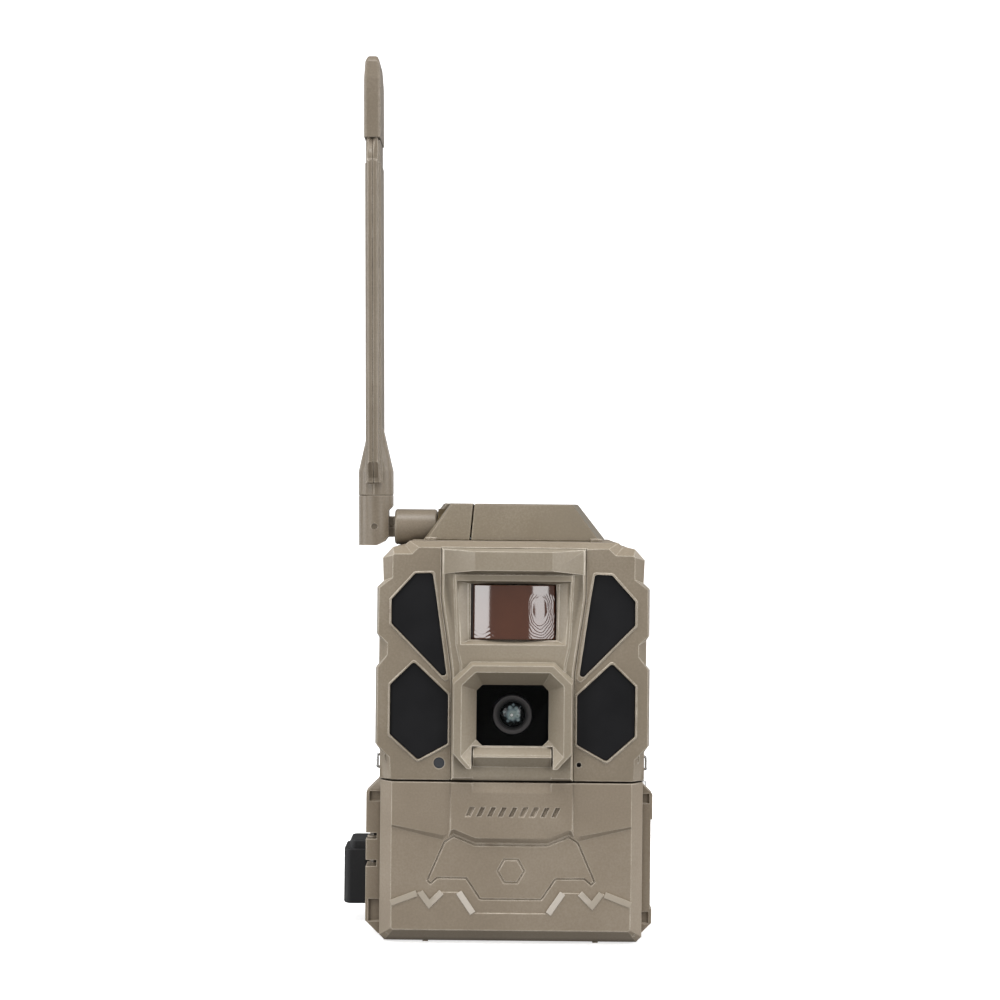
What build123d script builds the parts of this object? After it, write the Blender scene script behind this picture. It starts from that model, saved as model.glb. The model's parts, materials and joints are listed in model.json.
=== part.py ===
from build123d import *
import math
import os

# Trail camera. Millimetres. X is the viewer's right, Y runs from the front to the back, Z is up.
# The origin is the mouth of the tripod socket in the base, under the lens axis.

# ---- driving dimensions -------------------------------------------------------------------------
FRONT = -36.0                 # main front face of the bezel and the door
SHOULDER = -32.0              # where the bezel's and the door's front bevels end
PARTING = -22.0               # plane between the front mouldings and the rear housing
DOOR_BACK = -22.5
REAR = 31.0                   # back face of the rear housing
REAR_BEVEL = 3.0
WALL = 2.2
SEAM_Z = 52.4                 # lower edge of the bezel
DOOR_TOP = 51.8
BASE_Z = 0.7                  # underside of the housing, above its feet
TOP_Z = 128.2
BULKHEAD_BOTTOM = 50.2
BULKHEAD_TOP = 54.6
GAP = 0.15                    # between mouldings that sit in each other

MASK_BACK = -35.2
MASK_FACE = -37.0
PLATEAU_FACE = -37.8
BROW_FACE = -40.2
HOOD_FACE = -41.5

LENS_Z = 73.1
HUMP_TOP_Z = 140.3

HINGE = (42.8, -17.0)         # door hinge axis, X and Y
LATCH = (-44.6, -17.0)        # latch pivot axis, X and Y
PIN_R = 1.2
PIN_BORE_R = 1.25

CELL_R = 7.25
CELL_LENGTH = 50.5
CELL_PITCH = 15.4
CELL_ROWS = (12.7, 28.1)
CELL_COLUMNS = (-1.5, -0.5, 0.5, 1.5)
TRAY_FRONT = -28.0
TRAY_REAR = 27.4

SOCKET_R = 3.175              # quarter-inch tripod thread, major radius
SOCKET_DEPTH = 5.2
INSERT_R = 4.2
INSERT_TOP = 5.7

ANTENNA_Y = 4.0
ANTENNA_Z = 132.3
FOLD_X = -46.6
FOLD_PIN_R = 1.07
FOLD_BORE_R = 1.12
BLADE_X = -46.7

# ---- outlines: left halves seen from the front, as (x, z), from the top down ----------------------
BEZEL_FACE = [(-30.2, 126.3), (-32.4, 124.2), (-38.1, 124.1), (-38.5, 123.7), (-38.5, 116.6),
              (-42.7, 113.4), (-43.0, 98.6), (-39.9, 95.8), (-40.0, 92.0), (-43.0, 88.2),
              (-43.1, 63.5), (-38.9, 59.4), (-38.2, SEAM_Z)]
BEZEL_SIDE = [(-33.4, TOP_Z), (-35.0, 127.0), (-38.8, 126.2), (-41.9, 122.8), (-41.6, 115.4),
              (-43.6, 113.5), (-43.6, 98.6), (-42.6, 97.2), (-42.6, 89.2), (-43.8, 87.8),
              (-43.8, 63.5), (-42.3, 61.5), (-42.3, SEAM_Z)]
BEZEL_HOLLOW_FACE = [(-29.4, 124.2), (-36.3, 122.2), (-36.6, 121.8), (-36.6, 115.6), (-40.7, 112.4),
                     (-41.0, 99.5), (-37.9, 96.7), (-38.0, 91.2), (-41.0, 87.4), (-41.1, 64.3),
                     (-37.0, 60.3), (-36.3, 54.4)]
BEZEL_HOLLOW_SIDE = [(-32.6, 126.2), (-38.0, 124.0), (-39.5, 121.9), (-39.5, 114.6), (-41.4, 112.7),
                     (-41.4, 98.6), (-40.6, 97.0), (-40.6, 89.2), (-41.7, 87.2), (-41.7, 64.2),
                     (-40.2, 62.2), (-40.2, 54.4)]
HOUSING_SIDE = [(-33.4, TOP_Z), (-35.0, 126.9), (-38.8, 126.0), (-41.6, 122.8), (-41.6, 115.4),
                (-43.4, 113.5), (-43.4, 63.5), (-42.1, 61.5), (-42.1, SEAM_Z), (-39.5, SEAM_Z),
                (-39.5, 3.7), (-36.5, BASE_Z)]
UPPER_BAY = [(-32.6, 126.0), (-37.9, 123.9), (-39.4, 122.0), (-39.4, 114.6), (-41.2, 112.7),
             (-41.2, 64.3), (-39.9, 62.3), (-39.9, BULKHEAD_TOP)]
MASK = [(-23.0, 126.2), (-23.0, 110.5), (-22.4, 106.0), (-20.7, 95.0), (-19.7, 87.5),
        (-19.5, 84.6), (-19.5, SEAM_Z)]
PLATEAU = [(-19.4, 118.6), (-18.4, 95.7), (-17.0, 89.0), (-17.0, 86.0)]
WINDOW_UPPER = [(-38.8, 109.7), (-31.3, 118.0), (-25.8, 118.2), (-24.6, 110.7), (-20.8, 83.7),
                (-38.8, 102.0)]
WINDOW_LOWER = [(-31.5, 89.9), (-20.5, 79.6), (-20.5, 63.9), (-30.0, 58.7), (-39.0, 66.7),
                (-39.0, 82.6)]
PIR_FRAME = [(-18.1, 115.9), (-16.7, 95.7)]
PIR_OPENING = [(-13.6, 114.8), (-13.6, 97.1)]
HOOD_BASE = [(-13.4, 90.4), (-19.3, 84.4), (-19.3, 61.2), (-14.5, 56.7)]
HOOD_RIM = [(-12.7, 89.3), (-18.7, 83.5), (-18.7, 61.6), (-14.3, 56.7)]
HOOD_MOUTH = [(-11.8, 87.2), (-16.2, 83.0), (-16.2, 60.6), (-12.9, 56.8)]
LENS_OPENING = [(-9.6, 82.8), (-11.5, 80.9), (-11.5, 65.3), (-9.6, 63.4)]
DOOR_FACE = [(-38.2, DOOR_TOP), (-38.2, 5.2), (-37.5, 4.6)]
DOOR_SIDE = [(-42.0, DOOR_TOP), (-42.0, 2.2), (-40.3, 0.5)]
PANEL_FOOT = [(-38.2, 37.3), (-21.6, 33.0), (-18.3, 35.2), (-11.4, 32.4)]
PANEL_EDGE = [(-38.2, 38.2), (-21.6, 34.9), (-18.3, 37.0), (-11.4, 34.2)]
SHIELD = [(-11.4, 32.0), (-18.3, 34.8), (-21.4, 32.8), (-26.8, 20.4), (-25.6, 19.0), (-23.3, 21.1),
          (-14.3, 21.0), (-9.9, 14.4)]
ACCENT_WIDTH = 1.9
OUTER_ACCENT_SHARE = 0.88      # how much of the outer ridge run the outer strip covers
ACCENT_PROUD = 0.45            # height of the accent strips over the door's face
RIDGE = [(-38.2, 13.2), (-28.8, 16.8), (-25.9, 12.9), (-22.0, 16.8), (-16.5, 16.8), (-12.0, 10.2)]

PARTS = {}


# ---- helpers ------------------------------------------------------------------------------------
def both(half):
    """A whole outline from its left half."""
    return half + [(-x, z) for x, z in reversed(half)]


def flipped(points):
    """An outline's mirror image on the other side of the lens axis."""
    return [(-x, z) for x, z in points]


def inset(points, distance):
    """The outline moved inwards by distance, or outwards when it is negative."""
    ends = points[1:] + points[:1]
    area = sum(a[0] * b[1] - b[0] * a[1] for a, b in zip(points, ends))
    turn = distance if area > 0 else -distance
    moved = []
    for index, here in enumerate(points):
        before = points[index - 1]
        after = ends[index]
        first = Vector(here[0] - before[0], here[1] - before[1]).normalized()
        second = Vector(after[0] - here[0], after[1] - here[1]).normalized()
        normals = Vector(-first.Y - second.Y, first.X + second.X)
        mitre = normals * (turn / (1 + first.dot(second)))
        moved.append((here[0] + mitre.X, here[1] + mitre.Y))
    return moved


def band(points, width):
    """A strip of constant width along an open line of points."""
    sides = ([], [])
    for index, here in enumerate(points):
        before = points[max(index - 1, 0)]
        after = points[min(index + 1, len(points) - 1)]
        runs = [Vector(b[0] - a[0], b[1] - a[1]).normalized()
                for a, b in ((before, here), (here, after)) if a != b]
        first, second = runs[0], runs[-1]
        normals = Vector(-first.Y - second.Y, first.X + second.X)
        mitre = normals * (width / 2 / (1 + first.dot(second)))
        sides[0].append((here[0] + mitre.X, here[1] + mitre.Y))
        sides[1].append((here[0] - mitre.X, here[1] - mitre.Y))
    return sides[0] + sides[1][::-1]


def flat(points, plane, radius=0.0):
    """A face with this outline on the plane, its corners rounded by radius."""
    face = make_face(Polyline(*points, close=True))
    if radius:
        face = fillet(face.vertices(), radius)
    return plane * face


def front_plane(y):
    return Plane(origin=(0, y, 0), x_dir=(1, 0, 0), z_dir=(0, -1, 0))


def prism(points, y0, y1, radius=0.0):
    """A solid with the (x, z) outline, from y0 back to y1."""
    return extrude(flat(points, front_plane(y1), radius), amount=y1 - y0)


def frustum(points_a, y_a, points_b, y_b):
    """A solid that runs straight from one (x, z) outline to another with as many corners."""
    return loft([flat(points_a, front_plane(y_a)), flat(points_b, front_plane(y_b))], ruled=True)


def side_prism(points, x0, x1, radius=0.0):
    """A solid with the (y, z) outline, from x0 to x1."""
    plane = Plane(origin=(x0, 0, 0), x_dir=(0, 1, 0), z_dir=(1, 0, 0))
    return extrude(flat(points, plane, radius), amount=x1 - x0)


def upright_prism(points, z0, z1, radius=0.0):
    """A solid with the (x, y) outline, from z0 up to z1."""
    return extrude(flat(points, Plane(origin=(0, 0, z0)), radius), amount=z1 - z0)


def rectangle(x0, x1, y0, y1):
    return [(x0, y0), (x1, y0), (x1, y1), (x0, y1)]


def box(x0, x1, y0, y1, z0, z1):
    return upright_prism(rectangle(x0, x1, y0, y1), z0, z1)


def rod(start, end, radius):
    """A round bar between two points."""
    line = Vector(*end) - Vector(*start)
    plane = Plane(origin=start, z_dir=line)
    return plane * Cylinder(radius, line.length, align=(Align.CENTER, Align.CENTER, Align.MIN))


def rod_x(x0, x1, radius, y=ANTENNA_Y, z=ANTENNA_Z):
    return rod((x0, y, z), (x1, y, z), radius)


def rod_y(x, z, y0, y1, radius):
    return rod((x, y0, z), (x, y1, z), radius)


def rod_z(x, y, z0, z1, radius):
    return rod((x, y, z0), (x, y, z1), radius)


def mirrored(shape):
    return mirror(shape, Plane.YZ)


def group(shapes):
    """Separate solids kept together as one node."""
    return Compound(children=list(shapes))


def inside(points, x, z):
    """Whether a point lies inside an outline."""
    crossings = 0
    for a, b in zip(points, points[1:] + points[:1]):
        if (a[1] > z) != (b[1] > z) and x < a[0] + (z - a[1]) * (b[0] - a[0]) / (b[1] - a[1]):
            crossings += 1
    return crossings % 2 == 1


# ---- front bezel, mask and windows ----------------------------------------------------------------
FLASH_WINDOWS = {"flash_window_upper_left": WINDOW_UPPER, "flash_window_lower_left": WINDOW_LOWER,
                 "flash_window_upper_right": flipped(WINDOW_UPPER),
                 "flash_window_lower_right": flipped(WINDOW_LOWER)}
BEZEL_INSIDE = FRONT + 2.0
WINDOW_CORNER = 1.0
LIP_WIDTH = 0.55
SCREW_POSTS = [(-36.9, 118.3), (-38.0, 59.6)]
POST_R = 2.8
SCREW_R = 1.3
PIR_COLLAR = rectangle(-17.5, 17.5, 93.8, 118.1)
PIR_WELL = rectangle(-15.2, 15.2, 96.0, 116.0)
MIC = (21.3, 57.6)
LIGHT_SENSOR = (-23.2, 57.8)


def pir_funnel():
    return frustum(both(PIR_FRAME), PLATEAU_FACE - 0.01, both(PIR_OPENING), FRONT + 1.4)


def front_bezel():
    side = both(BEZEL_SIDE)
    body = frustum(both(BEZEL_FACE), FRONT, side, SHOULDER) + prism(side, SHOULDER, PARTING)
    hollow = both(BEZEL_HOLLOW_SIDE)
    body -= frustum(both(BEZEL_HOLLOW_FACE), BEZEL_INSIDE, hollow, SHOULDER + 1)
    body -= prism(hollow, SHOULDER + 1, PARTING)
    for points in FLASH_WINDOWS.values():
        body += prism(inset(points, -LIP_WIDTH), FRONT - 0.3, FRONT + 0.5, WINDOW_CORNER)
    for x, z in SCREW_POSTS:
        for side_x in (x, -x):
            body += rod_y(side_x, z, BEZEL_INSIDE - 0.5, PARTING, POST_R)
            body -= rod_y(side_x, z, PARTING - 9, PARTING, SCREW_R)
    body += prism(PIR_COLLAR, BEZEL_INSIDE - 0.5, -30.0)
    for points in FLASH_WINDOWS.values():
        body -= prism(points, FRONT - 1, BEZEL_INSIDE + 1, WINDOW_CORNER)
    body -= prism(inset(both(MASK), -GAP), FRONT - 1, MASK_BACK)
    body -= pir_funnel()
    body -= prism(PIR_WELL, FRONT + 1.4, -29)
    body -= prism(inset(both(LENS_OPENING), -1.1), FRONT - 1, BEZEL_INSIDE + 1)
    body -= rod_y(MIC[0], MIC[1], FRONT - 1, BEZEL_INSIDE + 1, 0.8)
    body -= rod_y(LIGHT_SENSOR[0], LIGHT_SENSOR[1], FRONT - 1, BEZEL_INSIDE + 1, 1.75)
    return body


def center_mask():
    base = both(MASK)
    body = prism(base, MASK_BACK, FRONT - 0.2)
    body += frustum(inset(base, 0.8), MASK_FACE, base, FRONT - 0.2)
    plateau = both(PLATEAU)
    body += frustum(inset(plateau, 0.8), PLATEAU_FACE, plateau, MASK_FACE + 0.2)
    brow_foot = both([(-22.6, 126.1), (-22.6, 118.0)])
    brow_ridge = both([(-12.2, 125.3), (-12.2, 119.2)])
    body += frustum(brow_ridge, BROW_FACE, brow_foot, MASK_FACE + 0.2)
    body += frustum(both(HOOD_RIM), HOOD_FACE, both(HOOD_BASE), MASK_FACE + 0.2)
    body -= frustum(both(HOOD_MOUTH), HOOD_FACE - 0.01, both(LENS_OPENING), MASK_BACK - 0.3)
    body -= prism(both(LENS_OPENING), MASK_BACK - 0.5, MASK_BACK + 1)
    sill_width = 12.4
    body -= side_prism([(-45, 50), (MASK_FACE, 50), (MASK_FACE, 60), (-36, 63.4), (-45, 63.4)],
                       -12.9, 12.9)
    sill = [(MASK_BACK - 0.4, 63.4), (-39.3, 60.9), (-39.6, 60.2), (MASK_FACE, 56.9),
            (MASK_BACK - 0.4, 56.9)]
    body += side_prism(sill, -sill_width, sill_width)
    body += box(-13.5, 13.5, MASK_BACK, FRONT - 0.2, 56.9, 63.3)
    body -= prism(both(LENS_OPENING), MASK_BACK - 3, MASK_BACK + 1)
    notch = [(-38, SEAM_Z - 1), (-38, 54.2), (MASK_FACE, 54.2), (-36.2, SEAM_Z - 1)]
    body -= side_prism(notch, -12.4, 12.4)
    body -= pir_funnel()
    return body


def flash_window(points):
    """Dark filter pane: a plug in the opening with a flange behind the bezel's front wall."""
    plug = prism(inset(points, 0.08), FRONT + 0.9, BEZEL_INSIDE, WINDOW_CORNER)
    return plug + prism(inset(points, -1.2), BEZEL_INSIDE, BEZEL_INSIDE + 1.2, WINDOW_CORNER)


PIR_LENS_R = 30.0
PIR_LENS_Y = -37.0             # front of the curved pane
PIR_LENS_X = (-12.8, 13.35)
PIR_LENS_Z = (97.25, 114.6)
PIR_LENS_BACK = -29.2
PIR_WALL = 0.9


def pir_lens():
    """Curved motion-sensor window, a slice of a tube about an upright axis, with a flange."""
    centre_y = PIR_LENS_Y + PIR_LENS_R
    x0, x1 = PIR_LENS_X
    z0, z1 = PIR_LENS_Z
    hollow = (x0 + PIR_WALL, x1 - PIR_WALL, PIR_LENS_Y - 1, PIR_LENS_BACK + 1, z0 + PIR_WALL, z1 - PIR_WALL)
    tube = rod_z(0, centre_y, z0, z1, PIR_LENS_R) & box(x0, x1, PIR_LENS_Y - 1, PIR_LENS_BACK, z0, z1)
    flange = prism(rectangle(-17.0, 17.0, 94.3, 117.6), PIR_LENS_BACK - 0.8, PIR_LENS_BACK)
    return tube + flange - (rod_z(0, centre_y, z0, z1, PIR_LENS_R - PIR_WALL) & box(*hollow))


def pir_holder():
    frame = prism(rectangle(-17.0, 17.0, 94.3, 117.6), -29.2, -16.0)
    frame -= prism(rectangle(-15.4, 15.4, 95.9, 116.0), -29.3, -15.9)
    return frame


def lens_window():
    return prism(inset(both(LENS_OPENING), -1.0), MASK_BACK, BEZEL_INSIDE)


def lens_shroud():
    plate = prism(inset(both(LENS_OPENING), -2.4), BEZEL_INSIDE, BEZEL_INSIDE + 1.0)
    return plate - rod_y(0, LENS_Z, -35, -32, 6.5)


def lens_barrel():
    barrel = rod_y(0, LENS_Z, -33.6, -30.4, 6.25) + rod_y(0, LENS_Z, -30.4, -19.6, 5.85)
    mouth = Plane(origin=(0, -33.6, LENS_Z), x_dir=(1, 0, 0), z_dir=(0, 1, 0))
    barrel -= mouth * Cone(5.5, 4.5, 0.9, align=(Align.CENTER, Align.CENTER, Align.MIN))
    barrel -= rod_y(0, LENS_Z, -32.8, -31.0, 4.2)
    barrel -= rod_y(0, LENS_Z, -31.0, -19.0, 3.2)
    return barrel


def lens_glass():
    """Front element of the lens, domed towards the front."""
    dome_r = 6.0
    dome = Pos(0, -32.6 + dome_r, LENS_Z) * Sphere(dome_r)
    return dome & rod_y(0, LENS_Z, -33.5, -31.0, 4.2)


def lens_holder():
    holder = prism(rectangle(-7.5, 7.5, LENS_Z - 7.5, LENS_Z + 7.5), -27.5, -16.0)
    holder -= rod_y(0, LENS_Z, -28, -19.0, 5.85)
    holder -= prism(rectangle(-5.6, 16.0, LENS_Z - 5.0, LENS_Z + 5.0), -19.1, -17.8)
    holder -= prism(rectangle(-5.0, 5.0, LENS_Z - 5.0, LENS_Z + 5.0), -17.9, -15.9)
    return holder


def ir_cut_filter():
    carrier = prism(rectangle(-5.3, 5.3, LENS_Z - 4.7, LENS_Z + 4.7), -18.8, -18.1)
    return carrier + prism(rectangle(5.3, 9.0, LENS_Z - 1.5, LENS_Z + 1.5), -18.8, -18.1)


def image_sensor():
    return prism(rectangle(-4.5, 4.5, LENS_Z - 4.0, LENS_Z + 4.0), -17.3, -16.0)


def flash_boards():
    board = prism(rectangle(-39.0, -20.8, 63.0, 114.6), -29.0, -27.4)
    return group([board, mirrored(board)])


def flash_leds():
    """Infrared emitters on a grid, wherever they fit behind the panes."""
    pitch = 5.2
    leds = []
    for points in (WINDOW_UPPER, WINDOW_LOWER):
        room = inset(points, 2.4)
        for column in range(4):
            for row in range(11):
                x = -37.0 + pitch * column
                z = 64.8 + pitch * row * 0.94
                if inside(room, x, z) and 63.5 < z < 114.0:
                    leds.append(rod_y(x, z, -30.6, -29.0, 1.5))
    return group(leds + [mirrored(led) for led in leds])


PARTS["front_bezel"] = front_bezel()
PARTS["center_mask"] = center_mask()
for window_name, window_points in FLASH_WINDOWS.items():
    PARTS[window_name] = flash_window(window_points)
PARTS["pir_lens"] = pir_lens()
PARTS["pir_holder"] = pir_holder()
PARTS["pir_sensor"] = rod_y(0, 106.0, -20.2, -16.0, 4.6)
PARTS["lens_window"] = lens_window()
PARTS["lens_shroud"] = lens_shroud()
PARTS["lens_barrel"] = lens_barrel()
PARTS["lens_glass"] = lens_glass()
PARTS["lens_holder"] = lens_holder()
PARTS["ir_cut_filter"] = ir_cut_filter()
PARTS["image_sensor"] = image_sensor()
PARTS["light_and_sound_sensors"] = group(
    [rod_y(LIGHT_SENSOR[0], LIGHT_SENSOR[1], FRONT + 0.2, -33.0, 1.73),
     rod_y(MIC[0], MIC[1], BEZEL_INSIDE, -32.4, 2.0)])
PARTS["flash_boards"] = flash_boards()
PARTS["flash_leds"] = flash_leds()


# ---- rear housing and what is screwed to it ---------------------------------------------------------
POCKET_R = 7.5
POCKET_FLOOR = -21.5
REAR_INSIDE = REAR - 2.6
KNUCKLE_Z = (10.4, 38.5)
BRACKET_SCREWS = [(-13.0, 28.0), (13.0, 28.0), (-13.0, 107.0), (13.0, 107.0)]
CASE_SCREW_HEAD_Y = REAR - 3.2
DC_Y = 8.0
DC_Z = 68.6
DC_HINGE = (45.0, 16.0)
DC_LUGS = ((DC_Z - 8.6, DC_Z - 6.6), (DC_Z + 6.6, DC_Z + 8.6))


def connector_pocket(x0):
    """Round-bottomed recess for the antenna nut, open at the top and on the outer side."""
    above = box(x0, POCKET_FLOOR, ANTENNA_Y - POCKET_R, ANTENNA_Y + POCKET_R, ANTENNA_Z, 145)
    return rod_x(x0, POCKET_FLOOR, POCKET_R) + above


def rear_housing():
    side = both(HOUSING_SIDE)
    body = prism(side, PARTING, REAR - REAR_BEVEL)
    body += frustum(side, REAR - REAR_BEVEL, inset(side, 2.0), REAR)
    bay = prism(both(UPPER_BAY), PARTING - 1, REAR_INSIDE)
    bay -= rod_x(-45, -19.0, POCKET_R + 1.8)
    body -= bay
    body -= box(-37.3, 37.3, PARTING - 1, REAR_INSIDE, 2.9, BULKHEAD_BOTTOM)
    for x, z in SCREW_POSTS:
        for side_x in (x, -x):
            body += rod_y(side_x, z, PARTING, REAR_INSIDE + 0.2, POST_R)
            body -= rod_y(side_x, z, PARTING - 1, REAR, SCREW_R)
            body -= rod_y(side_x, z, CASE_SCREW_HEAD_Y, REAR + 1, 2.5)
    for x, z in BRACKET_SCREWS:
        body += rod_y(x, z, REAR_INSIDE - 0.4, REAR_INSIDE + 0.2, 3.2)
        body -= rod_y(x, z, REAR_INSIDE - 1, REAR + 1, SCREW_R)
    body -= connector_pocket(-50)
    body -= box(-18.8, -2, -2, 10, 120, TOP_Z + 1)
    # tripod boss
    body += rod_z(0, 0, 0, INSERT_TOP, 5.0)
    body -= rod_z(0, 0, -1, INSERT_TOP + 1, INSERT_R)
    # feet
    for x in (-29.5, 29.5):
        body += box(x - 1.1, x + 1.1, 12, 26, 0, 1.2)
    # groove for the door seal
    body -= prism(rectangle(-38.9, 38.9, 1.3, 51.6), PARTING - 1, PARTING + 1.2) - prism(
        rectangle(-37.9, 37.9, 2.3, 50.8), PARTING - 2, PARTING + 2)
    # knuckle of the door hinge, with a rib to the side wall
    low, high = KNUCKLE_Z
    body += rod_z(HINGE[0], HINGE[1], low, high, 2.3)
    body += upright_prism([(39.0, -16.6), (HINGE[0], -16.6), (HINGE[0] + 1.6, -15.4), (39.0, -8)], low, high)
    body -= rod_z(HINGE[0], HINGE[1], low - 1, high + 1, PIN_R)
    # keeper rib of the latch
    body += upright_prism([(-39.0, 7.5), (-40.6, 9.5), (-40.6, 11.5), (-39.0, 11.8)], 12, 29)
    # power inlet
    body += rod_x(34.5, 41.5, 5.6, DC_Y, DC_Z)
    body -= rod_x(33.0, 44.0, 4.6, DC_Y, DC_Z)
    for z0, z1 in DC_LUGS:
        body += box(43.0, 46.4, DC_HINGE[1] - 1.5, DC_HINGE[1] + 1.5, z0, z1)
    body += rod_z(DC_HINGE[0], DC_HINGE[1], DC_LUGS[0][0] + 1, DC_LUGS[1][1] - 1, 0.6)
    return body


def door_seal():
    ring = prism(rectangle(-38.9, 38.9, 1.3, 51.6), PARTING - 0.35, PARTING + 1.2)
    return ring - prism(rectangle(-37.9, 37.9, 2.3, 50.8), PARTING - 2, PARTING + 2)


def tripod_insert():
    insert = rod_z(0, 0, 0, INSERT_TOP, INSERT_R)
    return insert - rod_z(0, 0, -1, SOCKET_DEPTH, SOCKET_R)


def case_screws():
    screws = []
    for x, z in SCREW_POSTS:
        for side_x in (x, -x):
            shank = rod_y(side_x, z, PARTING - 8, CASE_SCREW_HEAD_Y, SCREW_R)
            head = rod_y(side_x, z, CASE_SCREW_HEAD_Y, CASE_SCREW_HEAD_Y + 1.8, 2.4)
            slot = rod_y(side_x, z, CASE_SCREW_HEAD_Y + 0.9, CASE_SCREW_HEAD_Y + 2, 1.0)
            screws.append(shank + head - slot)
    return screws


PLATE_Y = REAR + 2.0
RAIL_REAR = REAR + 10.0
RAIL_X = 24.0
LOCK_R = 3.2
LOCK_Z = 100.0
SLOT_Z = (56.0, 84.0)


def tree_bracket():
    """Rear bracket: a plate and two rails with strap slots and a lock hole right across."""
    plate = prism(rectangle(-29, 29, 18, 112), REAR, PLATE_Y, 4.0)
    plate -= prism(rectangle(-9, 9, 38, 88), REAR - 1, PLATE_Y + 1, 4.0)
    for x in (-RAIL_X, RAIL_X):
        rail = [(PLATE_Y - 0.5, 20), (RAIL_REAR - 4, 20), (RAIL_REAR, 27), (RAIL_REAR, 105),
                (RAIL_REAR - 3, 110), (PLATE_Y - 0.5, 110)]
        plate += side_prism(rail, x - 2.2, x + 2.2)
        plate -= side_prism(rectangle(PLATE_Y + 0.6, RAIL_REAR - 2.4, *SLOT_Z), x - 3, x + 3)
        plate -= rod_x(x - 3, x + 3, LOCK_R, PLATE_Y + 3.9, LOCK_Z)
    for x, z in BRACKET_SCREWS:
        plate -= rod_y(x, z, REAR - 1, PLATE_Y + 1, SCREW_R)
    return plate


def bracket_screws():
    screws = []
    for x, z in BRACKET_SCREWS:
        shank = rod_y(x, z, REAR_INSIDE - 0.3, PLATE_Y, SCREW_R)
        head = rod_y(x, z, PLATE_Y, PLATE_Y + 1.6, 2.6) - rod_y(x, z, PLATE_Y + 0.8, PLATE_Y + 2, 1.0)
        screws.append(shank + head)
    return screws


LUG_REACH = 1.0                # how far the wire loops stand out from the bezel


def side_lugs():
    """Two wire loops, one on each side of the bezel."""
    x = BEZEL_SIDE[-1][0]
    out = x - LUG_REACH
    path = FilletPolyline((x, -27, 59.3), (out, -27, 59.3), (out, -27, 55.3), (x, -27, 55.3), radius=0.5)
    wire = sweep(Plane(origin=path @ 0, z_dir=path % 0) * Circle(0.45), path=path)
    return group([wire, mirrored(wire)])


PARTS["rear_housing"] = rear_housing()
PARTS["door_seal"] = door_seal()
PARTS["tripod_insert"] = tripod_insert()
PARTS["rear_screws"] = group(case_screws() + bracket_screws())
PARTS["tree_bracket"] = tree_bracket()
PARTS["side_lugs"] = side_lugs()
PARTS["hinge_pin"] = rod_z(HINGE[0], HINGE[1], 2.4, 50.2, PIN_R)

# power inlet and its rubber cover
dc_jack = rod_x(33.4, 42.6, 4.6, DC_Y, DC_Z) - rod_x(35.0, 43.0, 2.85, DC_Y, DC_Z)
PARTS["dc_jack"] = dc_jack + rod_x(34.0, 42.0, 1.0, DC_Y, DC_Z)
dc_cover = side_prism(rectangle(DC_Y - 6.5, DC_HINGE[1], DC_Z - 6.0, DC_Z + 6.0), 43.7, 45.3, 1.5)
dc_cover += rod_z(DC_HINGE[0], DC_HINGE[1], DC_Z - 6.3, DC_Z + 6.3, 1.25)
PARTS["dc_plug_cover"] = dc_cover - rod_z(DC_HINGE[0], DC_HINGE[1], DC_Z - 7, DC_Z + 7, 0.66)


# ---- top hood and antenna mount ---------------------------------------------------------------------
HUMP_BASE = [(-29.0, -13.0), (28.4, -13.0), (32.0, 26.0), (-33.0, 26.0)]
HUMP_CROWN = [(-20.6, -8.0), (19.4, -8.0), (22.4, 22.5), (-24.0, 22.5)]
HUMP_SEAM = [(-12.75, 145), (-14.4, 125), (-14.75, 125), (-13.1, 145)]
TOP_SCREW_X = 27.0
TOP_SCREW_Y = -16.5


def hump():
    outer = loft([flat(HUMP_BASE, Plane(origin=(0, 0, TOP_Z))),
                  flat(HUMP_CROWN, Plane(origin=(0, 0, HUMP_TOP_Z)))], ruled=True)
    inner = loft([flat(inset(HUMP_BASE, 2.6), Plane(origin=(0, 0, TOP_Z - 0.01))),
                  flat(inset(HUMP_CROWN, 1.2), Plane(origin=(0, 0, HUMP_TOP_Z - 2.0)))], ruled=True)
    body = outer - inner
    body += rod_x(-40, -18.4, POCKET_R + 1.8) & outer
    body -= connector_pocket(-50)
    body -= rod_x(-25, -15, 3.2)
    body -= prism(HUMP_SEAM, -20, 35)
    return sorted(body.solids(), key=lambda solid: solid.center().X)


hump_pieces = hump()
PARTS["antenna_mount_cap"] = hump_pieces[0]
PARTS["top_hood"] = hump_pieces[-1]
PARTS["top_screws"] = group(
    [rod_z(x, TOP_SCREW_Y, TOP_Z, TOP_Z + 1.0, 2.0) - rod_z(x, TOP_SCREW_Y, TOP_Z + 0.5, TOP_Z + 2, 0.9)
     for x in (-TOP_SCREW_X, TOP_SCREW_X)])


# ---- antenna ----------------------------------------------------------------------------------------
NUT_R = 5.95
NUT_X = (-39.9, -25.7)
THREAD_R = 3.1
TONGUE_HALF_HEIGHT = 3.5
TONGUE_HALF_WIDTH = 1.8
KNUCKLE_X = -46.3
KNUCKLE_R = 5.85
KNUCKLE_BOTTOM = 126.0
KNUCKLE_TOP = 142.8
FLARE_TOP = 150.8
WAIST_Z = 253.9
TIP_Z = 261.7
BLADE_TOP = 289.4
LEAN = 0.7                     # degrees the antenna stands past upright at rest


def hexagon_x(x0, x1, flats):
    """A hexagonal bar along the antenna axis, points up."""
    corner = flats / math.sqrt(3)
    points = [(ANTENNA_Y + corner * math.sin(math.radians(60 * k)),
               ANTENNA_Z + corner * math.cos(math.radians(60 * k))) for k in range(6)]
    return side_prism(points, x0, x1)


def sma_connector():
    body = rod_x(-36.3, -15.6, THREAD_R) + hexagon_x(-25.4, POCKET_FLOOR, 10.6)
    body += hexagon_x(-18.4, -16.4, 8.0)
    return body - rod_x(-37, -30, 2.3) + rod_x(-36.0, -29, 0.5)


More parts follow.
